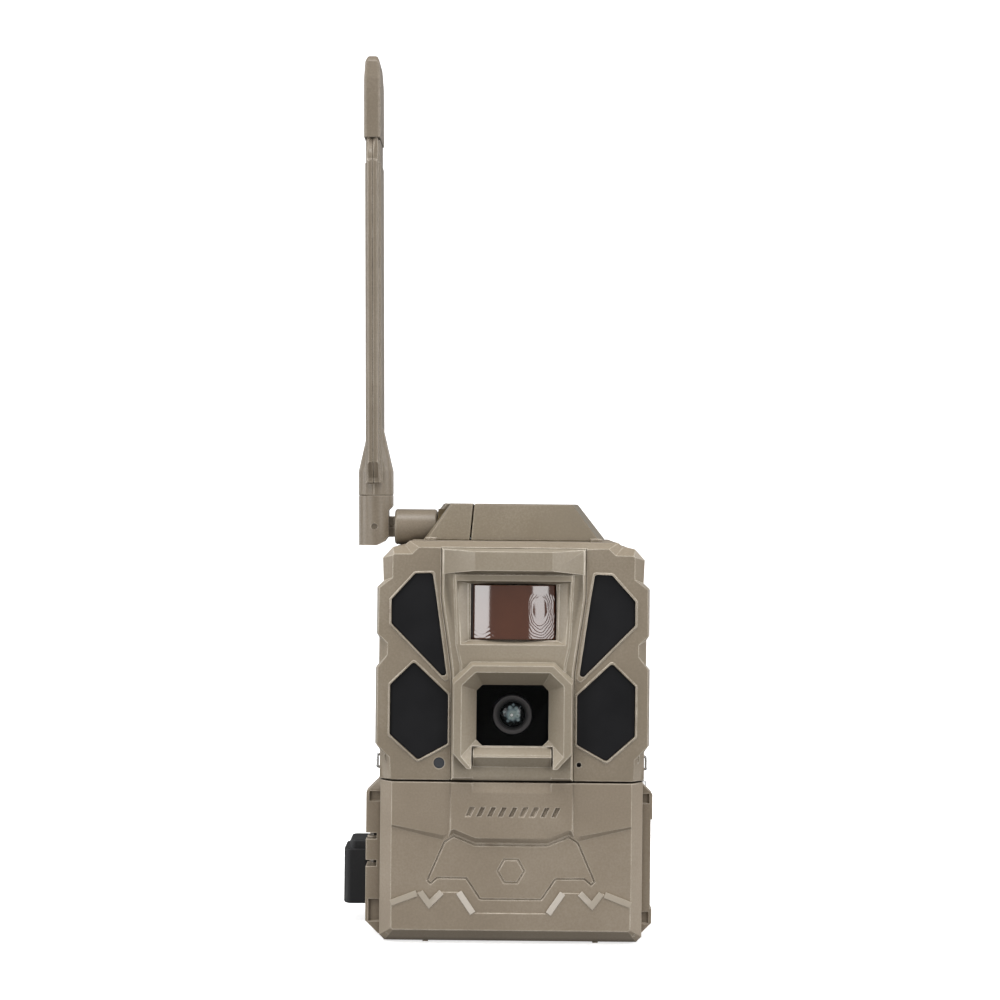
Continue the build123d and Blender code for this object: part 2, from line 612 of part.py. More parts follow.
def antenna_nut():
    nut = rod_x(NUT_X[0], NUT_X[1], NUT_R)
    nut = fillet(nut.edges().filter_by(GeomType.CIRCLE), 0.9)
    nut -= rod_x(-38.4, -25, THREAD_R + 0.08)
    return nut - rod_x(-41, -38, 2.1)


def antenna_neck():
    bar = box(FOLD_X, -40.1, ANTENNA_Y - TONGUE_HALF_WIDTH, ANTENNA_Y + TONGUE_HALF_WIDTH,
              ANTENNA_Z - TONGUE_HALF_HEIGHT, ANTENNA_Z + TONGUE_HALF_HEIGHT)
    bar += rod_y(FOLD_X, ANTENNA_Z, ANTENNA_Y - TONGUE_HALF_WIDTH, ANTENNA_Y + TONGUE_HALF_WIDTH,
                 TONGUE_HALF_HEIGHT)
    bar -= rod_y(FOLD_X, ANTENNA_Z, -2, 10, FOLD_BORE_R)
    groove = box(-44, -40, ANTENNA_Y - 3, ANTENNA_Y - TONGUE_HALF_WIDTH + 0.4, ANTENNA_Z - 0.25,
                 ANTENNA_Z + 0.25)
    bar -= groove
    bar += rod_x(-40.1, -38.2, 2.0)
    return bar + rod_x(-38.2, -37.0, 2.8)


def antenna_knuckle():
    body = rod_z(KNUCKLE_X, ANTENNA_Y, KNUCKLE_BOTTOM, KNUCKLE_TOP, KNUCKLE_R)
    body -= prism([(-42, 120), (-42, 137.7), (-40.2, 139.4), (-38, 139.4), (-38, 120)], -10, 20)
    body -= prism([(-42, 129.0), (-43.5, 127.2), (-45.9, KNUCKLE_BOTTOM), (-45.9, 120), (-38, 120),
                   (-38, 129.0)], -10, 20)
    slot = 0.15
    left = FOLD_X - TONGUE_HALF_HEIGHT - slot
    top = ANTENNA_Z + TONGUE_HALF_HEIGHT + slot
    y0 = ANTENNA_Y - TONGUE_HALF_WIDTH - slot
    y1 = ANTENNA_Y + TONGUE_HALF_WIDTH + slot
    body -= box(left, -38, y0, y1, 120, ANTENNA_Z)
    body -= box(FOLD_X, -38, y0, y1, ANTENNA_Z - 1, top)
    body -= rod_y(FOLD_X, ANTENNA_Z, y0, y1, TONGUE_HALF_HEIGHT + slot)
    return body - rod_y(FOLD_X, ANTENNA_Z, -5, 12, FOLD_PIN_R)


def blade_section(half_width, y0, y1, z0, z1, radius):
    points = rectangle(BLADE_X - half_width, BLADE_X + half_width, y0, y1)
    return upright_prism(points, z0, z1, radius)


def antenna_shells():
    core = blade_section(2.7, -3.4, 15.0, 144.0, WAIST_Z, 1.2)
    core &= side_prism([(-3.4, 147), (-3.4, WAIST_Z), (15, WAIST_Z), (15, 158), (9, 147)], -60, -30)
    core += blade_section(2.4, -3.4, 14.7, WAIST_Z - 0.1, TIP_Z, 1.1)
    fin = blade_section(1.8, -7.0, 0.0, 144.0, TIP_Z, 0.7)
    fin &= side_prism([(-2.0, 146.6), (-7.0, 153.9), (-7.0, WAIST_Z), (-6.5, WAIST_Z + 0.8),
                       (-6.5, TIP_Z), (0, TIP_Z), (0, 146.6)], -60, -30)
    base = rod_z(KNUCKLE_X, ANTENNA_Y, KNUCKLE_TOP, FLARE_TOP, KNUCKLE_R + 0.05)
    cone = Pos(KNUCKLE_X, ANTENNA_Y, FLARE_TOP) * Cone(
        KNUCKLE_R + 0.05, 2.6, 14.5, align=(Align.CENTER, Align.CENTER, Align.MIN))
    body = core + fin + base + cone
    body -= box(BLADE_X - 0.6, BLADE_X + 0.6, -1, 13, 152, 252)
    left = body & box(-60, BLADE_X, -20, 30, 140, 300)
    right = body & box(BLADE_X, -30, -20, 30, 140, 300)
    return left, right


def antenna_tip():
    levels = [(TIP_Z, 2.8, -7.0, 15.0), (281.5, 2.8, -6.6, 14.6), (287.5, 2.4, -5.6, 13.2),
              (BLADE_TOP, 1.6, -3.8, 11.0)]
    sections = [flat(rectangle(BLADE_X - w, BLADE_X + w, y0, y1), Plane(origin=(0, 0, z)), 1.1)
                for z, w, y0, y1 in levels]
    return loft(sections, ruled=True)


PARTS["sma_connector"] = sma_connector()
def leaning(shape):
    """The shape turned about the fold axis to where the antenna rests."""
    return shape.rotate(Axis((FOLD_X, 0, ANTENNA_Z), (0, -1, 0)), LEAN)


PARTS["antenna_nut"] = antenna_nut()
PARTS["antenna_neck"] = antenna_neck()
PARTS["antenna_pin"] = rod_y(FOLD_X, ANTENNA_Z, -1.35, 9.35, FOLD_PIN_R)
PARTS["antenna_knuckle"] = leaning(antenna_knuckle())
shell_left, shell_right = antenna_shells()
PARTS["antenna_shell_left"] = leaning(shell_left)
PARTS["antenna_shell_right"] = leaning(shell_right)
PARTS["antenna_element"] = leaning(box(BLADE_X - 0.5, BLADE_X + 0.5, 0, 12, 153, 251))
PARTS["antenna_tip"] = leaning(antenna_tip())


# ---- boards and the coax lead --------------------------------------------------------------------
BOARD_Y = (-16.0, -14.4)
COAX_R = 0.9
COAX_ROUTE = [(-15.6, 4.0, 132.3), (-10.5, 4.0, 132.3), (-6.6, 3.6, 126.5), (-5.8, 1.6, 118.5),
              (-6.2, -3.6, 112.0), (-7.0, -8.4, 108.5), (-7.0, -11.6, 108.5)]


def route_radii(route, share=0.45):
    """The largest bend radius each corner of a cable's route has room for."""
    corners = [Vector(*point) for point in route]
    radii = []
    for before, here, after in zip(corners, corners[1:], corners[2:]):
        run_in = here - before
        run_out = after - here
        turn = math.radians(run_in.get_angle(run_out))
        radii.append(share * min(run_in.length, run_out.length) / math.tan(turn / 2))
    return radii


def antenna_coax():
    radii = route_radii(COAX_ROUTE)
    print("coax bend radii", [round(r, 1) for r in radii])
    path = FilletPolyline(*COAX_ROUTE, radius=radii)
    return sweep(Plane(origin=path @ 0, z_dir=path % 0) * Circle(COAX_R), path=path)


PARTS["main_board"] = prism(rectangle(-31.0, 31.0, 57.5, 121.0), *BOARD_Y)
PARTS["modem_module"] = box(-14, 12, -14.4, -12.0, 84, 106) + box(-9.4, -4.6, -14.4, -11.6, 106, 111)
PARTS["antenna_coax"] = antenna_coax()

# ---- battery tray, cells and contacts --------------------------------------------------------------
TRAY_HALF_WIDTH = 31.4
CELL_Y = (-24.6, -24.6 + CELL_LENGTH)
CELL_PLACES = [(CELL_PITCH * column, z) for column in CELL_COLUMNS for z in CELL_ROWS]


def battery_tray():
    tray = box(-TRAY_HALF_WIDTH, TRAY_HALF_WIDTH, TRAY_FRONT, TRAY_REAR, 2.9, 36.4)
    for x, z in CELL_PLACES:
        tray -= rod_y(x, z, TRAY_FRONT + 1.0, TRAY_REAR - 0.6, CELL_R + 0.15)
    tray -= rod_z(0, 0, 2, INSERT_TOP + 0.4, 5.3)
    return tray


def battery_cells():
    cells = []
    for x, z in CELL_PLACES:
        can = rod_y(x, z, CELL_Y[0], CELL_Y[1] - 1.0, CELL_R)
        cells.append(can + rod_y(x, z, CELL_Y[1] - 1.0, CELL_Y[1], 2.7))
    return group(cells)


def battery_contacts():
    """A folded leaf at each cell's flat end and a round plate at its button end."""
    y0 = TRAY_FRONT + 1.0
    y1 = CELL_Y[0]
    fold = [(y0, 4.5), (y0 + 0.35, 4.5), (y0 + 0.35, -3.6), (y1 - 0.3, 3.9), (y1, 3.9), (y1, 3.2),
            (y0 + 0.35, -4.4), (y0, -4.4)]
    contacts = []
    for x, z in CELL_PLACES:
        contacts.append(Pos(0, 0, z) * side_prism(fold, x - 1.8, x + 1.8))
        contacts.append(rod_y(x, z, CELL_Y[1], TRAY_REAR - 0.6, 5.0))
    return group(contacts)


PARTS["battery_tray"] = battery_tray()
PARTS["battery_cells"] = battery_cells()
PARTS["battery_contacts"] = battery_contacts()

# ---- control panel ----------------------------------------------------------------------------------
PANEL_Y = (-19.6, -17.6)
BUTTON_NAMES = ("button_back", "button_down", "button_up", "button_ok")
BUTTON_X = (3.0, 11.0, 19.0, 27.0)
BUTTON_Z = 45.8
SCREEN = rectangle(-25.5, -4.5, 39.0, 48.6)
CARD = (6.0, 30.0, 37.95, 40.05)
USB = rectangle(-33.6, -30.2, 39.4, 48.6)


def control_panel():
    panel = prism(rectangle(-36.9, 36.9, 36.8, 50.0), *PANEL_Y)
    panel -= prism(SCREEN, -21, -17, 0.8)
    panel -= prism(rectangle(5.7, 30.3, 37.65, 40.35), -21, -17)
    panel -= prism(USB, -21, -17, 1.6)
    for x in BUTTON_X:
        panel -= rod_y(x, BUTTON_Z, -21, -17, 2.6)
    return panel


def button(x):
    cap = rod_y(x, BUTTON_Z, -20.6, -17.4, 2.35) + rod_y(x, BUTTON_Z, -17.4, -16.6, 3.2)
    return cap + rod_y(x, BUTTON_Z, -16.6, -14.6, 1.2)


def usb_port():
    shell = prism(inset(USB, 0.1), -19.0, -12.0, 1.5) - prism(inset(USB, 0.5), -19.1, -13.0, 1.1)
    return shell + box(-32.2, -31.6, -18.4, -13.0, 41.0, 47.0)


def sd_socket():
    shell = box(4.6, 31.4, -17.6, 16.0, 37.0, 41.0)
    return shell - box(5.7, 30.3, -18, 15.0, 37.65, 40.35)


def sd_card():
    x0, x1, z0, z1 = CARD
    return upright_prism([(x0, -19.4), (x1, -19.4), (x1, 12.6), (x0 + 3, 12.6), (x0, 9.6)], z0, z1)


def control_board():
    """Two boards in an L, with a switch behind each button."""
    board = box(-36, 36, -10.6, 18, 41.0, 42.4) + box(-36, 36, -10.6, -9.2, 42.4, 50.0)
    for x in BUTTON_X:
        board += prism(rectangle(x - 2.6, x + 2.6, BUTTON_Z - 2.6, BUTTON_Z + 2.6), -13.6, -10.6)
    return board


PARTS["control_panel"] = control_panel()
PARTS["lcd_screen"] = prism(rectangle(-27, -3, 38.2, 49.4), -17.6, -14.4) + prism(
    inset(SCREEN, 0.1), -19.2, -17.6, 0.7)
for button_name, button_x in zip(BUTTON_NAMES, BUTTON_X):
    PARTS[button_name] = button(button_x)
PARTS["port_sockets"] = group([usb_port(), sd_socket()])
PARTS["sd_card"] = sd_card()
PARTS["control_board"] = control_board()


# ---- lower door and latch ---------------------------------------------------------------------------
EAR_FRONT = -25.5
EAR_Z = (1.2, 51.2)
LATCH_WINDOW = (22.9, 33.7)
EYE_Z = (24.8, 31.7)


def ear_left():
    x0, x1 = -46.9, -40.3
    z0, z1 = EAR_Z
    bevel = 4.2
    ear = prism([(x1, z0), (x0 + bevel, z0), (x0, z0 + bevel), (x0, z1 - bevel),
                 (x0 + bevel, z1), (x1, z1)], EAR_FRONT, LATCH[1])
    ear += rod_z(LATCH[0], LATCH[1], z0 + bevel + 0.4, z1 - bevel - 0.4, 2.3)
    for low, high in ((44.0, z1 - bevel + 0.2), (z0 + bevel - 0.2, 12.4)):
        ear -= box(x0 + 1.0, x1 - 1.8, EAR_FRONT - 1, EAR_FRONT + 1.0, low, high)
    ear -= box(-50, x1 - 1.2, DOOR_BACK + 0.8, -10, *LATCH_WINDOW)
    for z in (22.9, 31.7):
        ear -= box(-50, -43.4, EAR_FRONT - 1, DOOR_BACK + 1, z, z + 2.0)
    return ear - rod_z(LATCH[0], LATCH[1], 5.2, 47.2, PIN_R)


def ear_right():
    x0, x1 = 40.3, 45.6
    z0, z1 = EAR_Z
    bevel = 4.2
    ear = prism([(x0, z0), (x1 - bevel, z0), (x1, z0 + bevel), (x1, z1 - bevel), (x1 - bevel, z1),
                 (x0, z1)], EAR_FRONT, HINGE[1])
    ear += rod_z(HINGE[0], HINGE[1], z0 + bevel, z1 - bevel, 2.6)
    for low, high in ((44.0, z1 - bevel + 0.2), (z0 + bevel - 0.2, 9.0)):
        ear -= box(x0 + 1.8, x1 - 1.0, EAR_FRONT - 1, EAR_FRONT + 1.0, low, high)
    low, high = KNUCKLE_Z
    ear -= box(x0 - 1, 50, DOOR_BACK + 0.6, -10, low - 0.3, high + 0.3)
    ear -= box(45.1, 50, EAR_FRONT - 1, -10, low - 0.3, high + 0.3)
    return ear - rod_z(HINGE[0], HINGE[1], 2.2, 50.4, PIN_BORE_R)


BAR_FLOOR = -36.4              # floor of the engraved bars, Y


def engraved_bars():
    """A plain row of slanted bars above the shield, and a hexagon in the shield."""
    cuts = []
    for k in range(9):
        x = -14.6 + 3.4 * k
        cuts.append(prism([(x, 41.0), (x + 1.5, 41.0), (x + 2.9, 44.0), (x + 1.4, 44.0)], -38, BAR_FLOOR))
    centre = 23.6
    hexagon = [(4.6 * math.cos(math.radians(60 * k)), centre + 4.6 * math.sin(math.radians(60 * k)))
               for k in range(6)]
    cuts.append(prism(hexagon, -38, FRONT + 0.3) - prism(inset(hexagon, 0.6), -39, FRONT + 1))
    return cuts


def accent_outlines():
    """Where the three accent strips lie on each side, along the ridge line."""
    outer, inner = RIDGE[:2]
    end = tuple(a + (b - a) * OUTER_ACCENT_SHARE for a, b in zip(outer, inner))
    halves = [band(run, ACCENT_WIDTH) for run in ([outer, end], RIDGE[1:4], RIDGE[4:6])]
    return halves + [flipped(half) for half in halves]


def lower_door():
    side = both(DOOR_SIDE)
    body = frustum(both(DOOR_FACE), FRONT, side, SHOULDER + 0.5) + prism(side, SHOULDER + 0.5, DOOR_BACK)
    body -= prism(rectangle(-39.6, 39.6, 2.9, 49.6), FRONT + 2.2, -24.5)
    body -= prism(rectangle(-37.3, 37.3, 2.9, 49.6), -24.6, DOOR_BACK + 1)
    # raised upper field: side panels, then the middle strip that carries on from the mask
    top = [(-38.2, DOOR_TOP)]
    body += frustum(both(top + PANEL_EDGE), FRONT - 0.5, both(top + PANEL_FOOT), FRONT + 0.1)
    strip_foot = [(-20.0, DOOR_TOP), (-20.0, 34.2)] + PANEL_FOOT[2:]
    strip_edge = [(-19.3, DOOR_TOP), (-19.3, 36.5)] + PANEL_EDGE[2:]
    body += frustum(both(strip_edge), FRONT - 1.0, both(strip_foot), FRONT + 0.1)
    # shield outline and the raised lower field
    shield = both(SHIELD)
    body -= prism(shield, FRONT - 0.1, FRONT + 0.45) - prism(inset(shield, 0.45), FRONT - 1, FRONT + 1)
    field = both([(-37.4, 4.8), (-38.0, 5.4), (-38.0, 13.3)] + RIDGE[1:])
    body += prism(field, FRONT - 0.25, FRONT + 0.1)
    for outline in accent_outlines():
        body -= prism(outline, FRONT - 1, FRONT)
    # finger notch at the seam
    body -= side_prism([(-38, 48.4), (-37, 48.6), (-36.1, DOOR_TOP + 1), (-38, DOOR_TOP + 1)], -12.4, 12.4)
    for cut in engraved_bars():
        body -= cut
    for x in (-27.2, 27.2):
        body += box(x - 0.9, x + 0.9, -31, -27, 0, 1.2)
    body += ear_left() + ear_right()
    body -= rod_z(HINGE[0], HINGE[1], 2.2, 50.4, PIN_BORE_R)
    return body


def door_accents():
    return group([prism(outline, FRONT - ACCENT_PROUD, FRONT) for outline in accent_outlines()])


def latch_arm():
    arm = rod_z(LATCH[0], LATCH[1], EYE_Z[0], EYE_Z[1], 2.3)
    arm += upright_prism([(-46.4, LATCH[1]), (-43.2, LATCH[1]), (-43.0, 16.0), (-46.4, 16.0)], *EYE_Z)
    arm += box(-46.4, -43.0, -12.5, 16.0, 8.0, 30.2)
    arm += upright_prism([(-43.2, 12.2), (-41.0, 12.4), (-41.0, 14.0), (-43.2, 15.8)], 13, 28)
    return arm - rod_z(LATCH[0], LATCH[1], 20, 35, PIN_BORE_R)


GRIP_STEP = 24.6               # heights of the grip's two top faces
GRIP_TOP = 27.6


def latch_grip():
    pad = upright_prism(rectangle(-55.5, -46.4, -4, 14), 6.5, GRIP_STEP, 2.4)
    pad += upright_prism(rectangle(-53.8, -46.4, -2.5, 11.5), GRIP_STEP, GRIP_TOP, 2.0)
    return pad


PARTS["lower_door"] = lower_door()
PARTS["door_accents"] = door_accents()
PARTS["latch_arm"] = latch_arm()
PARTS["latch_grip"] = latch_grip()
PARTS["latch_pin"] = rod_z(LATCH[0], LATCH[1], 5.6, 46.8, PIN_R)

os.makedirs("parts", exist_ok=True)
for name, shape in PARTS.items():
    export_step(shape, os.path.join("parts", name + ".step"))
print(len(PARTS), "parts")
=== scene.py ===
"""Looks of the trail camera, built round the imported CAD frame."""
import json
import math

import bmesh
import bpy
from mathutils import Matrix, Vector


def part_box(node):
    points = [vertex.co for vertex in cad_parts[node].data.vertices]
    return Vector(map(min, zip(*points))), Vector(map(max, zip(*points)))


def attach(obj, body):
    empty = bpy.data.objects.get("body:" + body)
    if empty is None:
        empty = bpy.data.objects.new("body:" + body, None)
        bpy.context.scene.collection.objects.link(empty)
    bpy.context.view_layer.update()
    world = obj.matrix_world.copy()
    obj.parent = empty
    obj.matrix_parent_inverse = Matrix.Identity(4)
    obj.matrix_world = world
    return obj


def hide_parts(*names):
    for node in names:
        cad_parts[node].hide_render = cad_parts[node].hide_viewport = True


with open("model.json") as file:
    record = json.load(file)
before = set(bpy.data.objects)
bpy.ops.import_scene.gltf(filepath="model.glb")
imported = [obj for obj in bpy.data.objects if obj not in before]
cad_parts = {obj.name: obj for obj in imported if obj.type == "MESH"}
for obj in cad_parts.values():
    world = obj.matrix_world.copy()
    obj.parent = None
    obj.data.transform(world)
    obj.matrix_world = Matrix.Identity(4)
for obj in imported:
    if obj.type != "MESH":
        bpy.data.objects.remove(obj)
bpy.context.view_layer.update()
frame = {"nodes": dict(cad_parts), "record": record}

MM = 0.001
NODES = frame["nodes"]
RECORD = frame["record"]
SLOT_OF = {part["node"]: part["material_slot"] for part in RECORD["subparts"]}
BODY_OF = {node: body for body, nodes in RECORD["behaviour"]["bodies"].items() for node in nodes}


def srgb(code):
    """Linear colour of a six-digit hex code."""
    levels = [int(code[i:i + 2], 16) / 255 for i in (0, 2, 4)]
    return tuple(c / 12.92 if c < 0.04045 else ((c + 0.055) / 1.055) ** 2.4 for c in levels) + (1.0,)


# ---- shaders ----------------------------------------------------------------------------------------
class Shader:
    """A material with a Principled shader and short ways to feed its sockets with patterns."""

    def __init__(self, name, **values):
        self.material = bpy.data.materials.new(name)
        self.material.use_nodes = True
        self.tree = self.material.node_tree
        self.surface = self.tree.nodes["Principled BSDF"]
        self.place = self.node("ShaderNodeTexCoord").outputs["Object"]
        for socket, value in values.items():
            self.surface.inputs[socket.replace("_", " ")].default_value = value

    def node(self, kind, **values):
        made = self.tree.nodes.new(kind)
        for key, value in values.items():
            setattr(made, key, value)
        return made

    def link(self, output, target):
        self.tree.links.new(output, target)

    def feed(self, output, socket):
        self.link(output, self.surface.inputs[socket])

    def stretched(self, scale):
        """Object coordinates stretched along the axes."""
        mapping = self.node("ShaderNodeMapping")
        mapping.inputs["Scale"].default_value = scale
        self.link(self.place, mapping.inputs["Vector"])
        return mapping.outputs["Vector"]

    def noise(self, size, detail=3.0, rough=0.5, vector=None):
        """Noise with blobs of about size metres."""
        noise = self.node("ShaderNodeTexNoise")
        noise.inputs["Scale"].default_value = 1.0 / size
        noise.inputs["Detail"].default_value = detail
        noise.inputs["Roughness"].default_value = rough
        self.link(vector or self.place, noise.inputs["Vector"])
        return noise.outputs["Fac"]

    def spread(self, output, low, high, start=0.3, end=0.7):
        """The output's start..end range mapped to low..high."""
        ranged = self.node("ShaderNodeMapRange")
        for socket, value in (("From Min", start), ("From Max", end), ("To Min", low), ("To Max", high)):
            ranged.inputs[socket].default_value = value
        self.link(output, ranged.inputs["Value"])
        return ranged.outputs["Result"]

    def joined(self, kind, first, second):
        """Two outputs put together by a Math operation."""
        maths = self.node("ShaderNodeMath", operation=kind)
        self.link(first, maths.inputs[0])
        self.link(second, maths.inputs[1])
        return maths.outputs["Value"]

    def ramp(self, output, *stops):
        """Colour of an output by (position, colour) stops."""
        ramp = self.node("ShaderNodeValToRGB")
        line = ramp.color_ramp.elements
        while len(line) < len(stops):
            line.new(0.5)
        for element, (at, colour) in zip(line, stops):
            element.position = at
            element.color = colour
        self.link(output, ramp.inputs["Fac"])
        return ramp.outputs["Color"]

    def off_axis(self, x, z):
        """Distance of a point from the line along Y through x and z."""
        flat = self.node("ShaderNodeVectorMath", operation="MULTIPLY")
        flat.inputs[1].default_value = (1, 0, 1)
        self.link(self.place, flat.inputs[0])
        away = self.node("ShaderNodeVectorMath", operation="DISTANCE")
        away.inputs[1].default_value = (x, 0, z)
        self.link(flat.outputs["Vector"], away.inputs[0])
        return away.outputs["Value"]

    def sideways(self):
        """Distance of a point from the middle plane, and the same with its sign."""
        split = self.node("ShaderNodeSeparateXYZ")
        self.link(self.place, split.inputs["Vector"])
        size = self.node("ShaderNodeMath", operation="ABSOLUTE")
        self.link(split.outputs["X"], size.inputs[0])
        return size.outputs["Value"], split.outputs["X"]

    def bump(self, output, height, strength=1.0):
        """Relief of up to height metres."""
        bump = self.node("ShaderNodeBump")
        bump.inputs["Distance"].default_value = height
        bump.inputs["Strength"].default_value = strength
        self.link(output, bump.inputs["Height"])
        self.feed(bump.outputs["Normal"], "Normal")

    def edges(self, radius):
        """1 on the outer edges of the shape, falling to 0 on its flats."""
        round_off = self.node("ShaderNodeBevel", samples=4)
        round_off.inputs["Radius"].default_value = radius
        shape = self.node("ShaderNodeNewGeometry")
        dot = self.node("ShaderNodeVectorMath", operation="DOT_PRODUCT")
        self.link(round_off.outputs["Normal"], dot.inputs[0])
        self.link(shape.outputs["Normal"], dot.inputs[1])
        return self.spread(dot.outputs["Value"], 1.0, 0.0, 0.88, 1.0)

    def creases(self, reach, most):
        """Painted shade: up to most in inner corners, found by ambient occlusion, 0 on open faces."""
        open_air = self.node("ShaderNodeAmbientOcclusion", samples=6, only_local=False)
        open_air.inputs["Distance"].default_value = reach
        return self.spread(open_air.outputs["AO"], most, 0.0, 0.25, 0.95)


GRAIN = 0.0004                    # moulded grain: width and height of its pimples, metres
GRAIN_HEIGHT = 0.000025
EDGE_HIGHLIGHT_REACH = 0.0005                # how far from an edge the painted highlight reaches
CORNER_SHADE_REACH = 0.002              # how far from an inner corner the painted shade reaches


def moulded(name, dark, base, light, rough):
    """Moulded plastic: fine grain, slow changes of tone, painted highlights on the edges and painted shade
    in inner corners.
    """
    shader = Shader(name, IOR=1.48, Specular_IOR_Level=0.45)
    slow = shader.spread(shader.noise(0.03, 4.0), 0.41, 0.5)
    speck = shader.spread(shader.noise(GRAIN * 1.6, 2.0), -0.03, 0.03)
    tone = shader.joined("ADD", slow, speck)
    # painted highlight: the outer edges are made paler, by a share that varies with noise
    edge_highlight = shader.spread(shader.noise(0.004), 0.25, 0.8)
    tone = shader.joined("ADD", tone, shader.joined("MULTIPLY", shader.edges(EDGE_HIGHLIGHT_REACH), edge_highlight))
    # painted shade: inner corners made darker
    tone = shader.joined("SUBTRACT", tone, shader.creases(CORNER_SHADE_REACH, 0.32))
    # the ramp's light end is reached on the painted edge highlights, and its dark end in the painted
    # corner shade
    shader.feed(shader.ramp(tone, (0.0, dark), (0.45, base), (1.0, light)), "Base Color")
    shader.feed(shader.spread(shader.noise(0.012, 4.0), *rough), "Roughness")
    shader.bump(shader.noise(GRAIN, 2.0, 0.6), GRAIN_HEIGHT, 0.6)
    return shader.material


def satin(name, dark, light, rough, level):
    """Smooth matt black plastic with slow changes of shade."""
    shader = Shader(name, Specular_IOR_Level=level)
    shader.feed(shader.ramp(shader.noise(0.006, 4.0), (0.3, dark), (0.7, light)), "Base Color")
    shader.feed(shader.spread(shader.noise(0.004, 4.0), *rough), "Roughness")
    shader.bump(shader.noise(0.0009, 2.0), 0.000004, 0.4)
    return shader.material


def metal(name, dark, light, rough=(0.2, 0.35)):
    """Turned or drawn metal with fine marks across Z."""
    shader = Shader(name, Metallic=1.0)
    marks = shader.noise(0.0012, 5.0, 0.6, shader.stretched((1, 1, 12)))
    shader.feed(shader.ramp(marks, (0.3, dark), (0.7, light)), "Base Color")
    shader.feed(shader.spread(shader.noise(0.003, 4.0), *rough), "Roughness")
    shader.bump(marks, 0.00001, 0.5)
    return shader.material


def pane(name, dark, light, rough, level=0.5, ior=1.5, depth=0.000006):
    """Tinted filter plastic, nearly smooth."""
    shader = Shader(name, IOR=ior, Specular_IOR_Level=level)
    shader.feed(shader.ramp(shader.noise(0.012, 3.0), (0.35, dark), (0.65, light)), "Base Color")
    shader.feed(shader.spread(shader.noise(0.02, 4.0), *rough), "Roughness")
    shader.bump(shader.noise(0.0006, 2.0), depth, 0.4)
    return shader.material


def clear(name, tint):
    """Clear plastic with a trace of wipe marks."""
    shader = Shader(name, IOR=1.5, Transmission_Weight=1.0)
    shader.feed(shader.ramp(shader.noise(0.01, 3.0), (0.3, tint), (0.7, tuple(c * 0.96 for c in tint))),
                "Base Color")
    shader.feed(shader.spread(shader.noise(0.006, 5.0, 0.7), 0.0, 0.03), "Roughness")
    return shader.material


def cover(name):
    """Thin clear cover: it shows what lies behind and keeps a faint sheen."""
    shader = Shader(name, IOR=1.5, Specular_IOR_Level=0.5, Alpha=0.12)
    shader.feed(shader.ramp(shader.noise(0.01, 3.0), (0.3, srgb("0A0C0C")), (0.7, srgb("101414"))),
                "Base Color")
    shader.feed(shader.spread(shader.noise(0.006, 5.0, 0.7), 0.02, 0.06), "Roughness")
    return shader.material


def ringed(name, axis, outer, bore):
    """Anodised barrel front, from the bore outwards: dark bands of painted shade at the steps between its
    paler rings, and painted shade on its outer edge.
    """
    shader = Shader(name, Specular_IOR_Level=0.5)
    share = shader.spread(shader.off_axis(*axis), 0.0, 1.0, bore, outer)
    black, grey, pale = srgb("040404"), srgb("3A3838"), srgb("565353")
    # painted shade: the black stops between the rings and the grey at the outer edge
    shader.feed(shader.ramp(share, (0.0, black), (0.2, black), (0.26, grey), (0.32, grey), (0.37, black),
                            (0.44, pale), (0.9, pale), (1.0, grey)), "Base Color")
    shader.feed(shader.spread(shader.noise(0.002, 4.0), 0.28, 0.42), "Roughness")
    shader.bump(shader.noise(0.0008, 2.0), 0.000004, 0.4)
    return shader.material


def painted_glints(name, axis, radius):
    """Front element with painted reflections: painted glints of the inner elements in its middle, and a
    painted dark border.
    """
    shader = Shader(name, IOR=1.5, Specular_IOR_Level=0.3)
    share = shader.spread(shader.off_axis(*axis), 0.0, 1.0, 0.0, radius)
    cells = shader.node("ShaderNodeTexVoronoi", feature="F1")
    cells.inputs["Scale"].default_value = 2.6 / radius
    shader.link(shader.place, cells.inputs["Vector"])
    blotch = shader.spread(cells.outputs["Distance"], -0.22, 0.22, 0.1, 0.6)
    tone = shader.joined("ADD", share, blotch)
    # painted reflection: white glint in the middle, pale blotched reflections of the inner elements, dark
    # border
    shader.feed(shader.ramp(tone, (0.0, srgb("FFFFFF")), (0.1, srgb("F0F6F0")), (0.17, srgb("76837F")),
                            (0.4, srgb("B2C4C2")), (0.62, srgb("84959A")), (0.8, srgb("10181A")),
                            (1.0, srgb("050606"))), "Base Color")
    shader.feed(shader.spread(shader.noise(0.003), 0.03, 0.06), "Roughness")
    return shader.material


def strip_paint(name):
    """Moulded accent strips, palest near the middle of the door and close to the shell at its sides."""
    shader = Shader(name, IOR=1.48, Specular_IOR_Level=0.45)
    away = shader.sideways()[0]
    share = shader.joined("ADD", shader.spread(away, 0.0, 1.0, 0.016, 0.036),
                          shader.spread(shader.noise(0.003, 4.0), -0.08, 0.08))
    shader.feed(shader.ramp(share, (0.0, srgb("CDC4B8")), (0.3, srgb("C2B8AB")), (0.5, srgb("B2A899")),
                            (1.0, srgb("AEA393"))), "Base Color")
    shader.feed(shader.spread(shader.noise(0.004), 0.34, 0.48), "Roughness")
    shader.bump(shader.noise(0.0005, 2.0, 0.6), 0.00003, 0.6)
    return shader.material


def sensor_face(name):
    """Grey light-sensor dot on the left of the middle plane, black microphone felt on the right."""
    shader = Shader(name, Specular_IOR_Level=0.4)
    share = shader.joined("ADD", shader.spread(shader.sideways()[1], 0.0, 1.0, -0.002, 0.002),
                          shader.spread(shader.noise(0.0008, 4.0), -0.04, 0.04))
    shader.feed(shader.ramp(share, (0.0, srgb("404246")), (0.2, srgb("4C4D52")), (0.8, srgb("0B0B0B"))),
                "Base Color")
    shader.feed(shader.spread(shader.noise(0.001), 0.3, 0.5), "Roughness")
    return shader.material


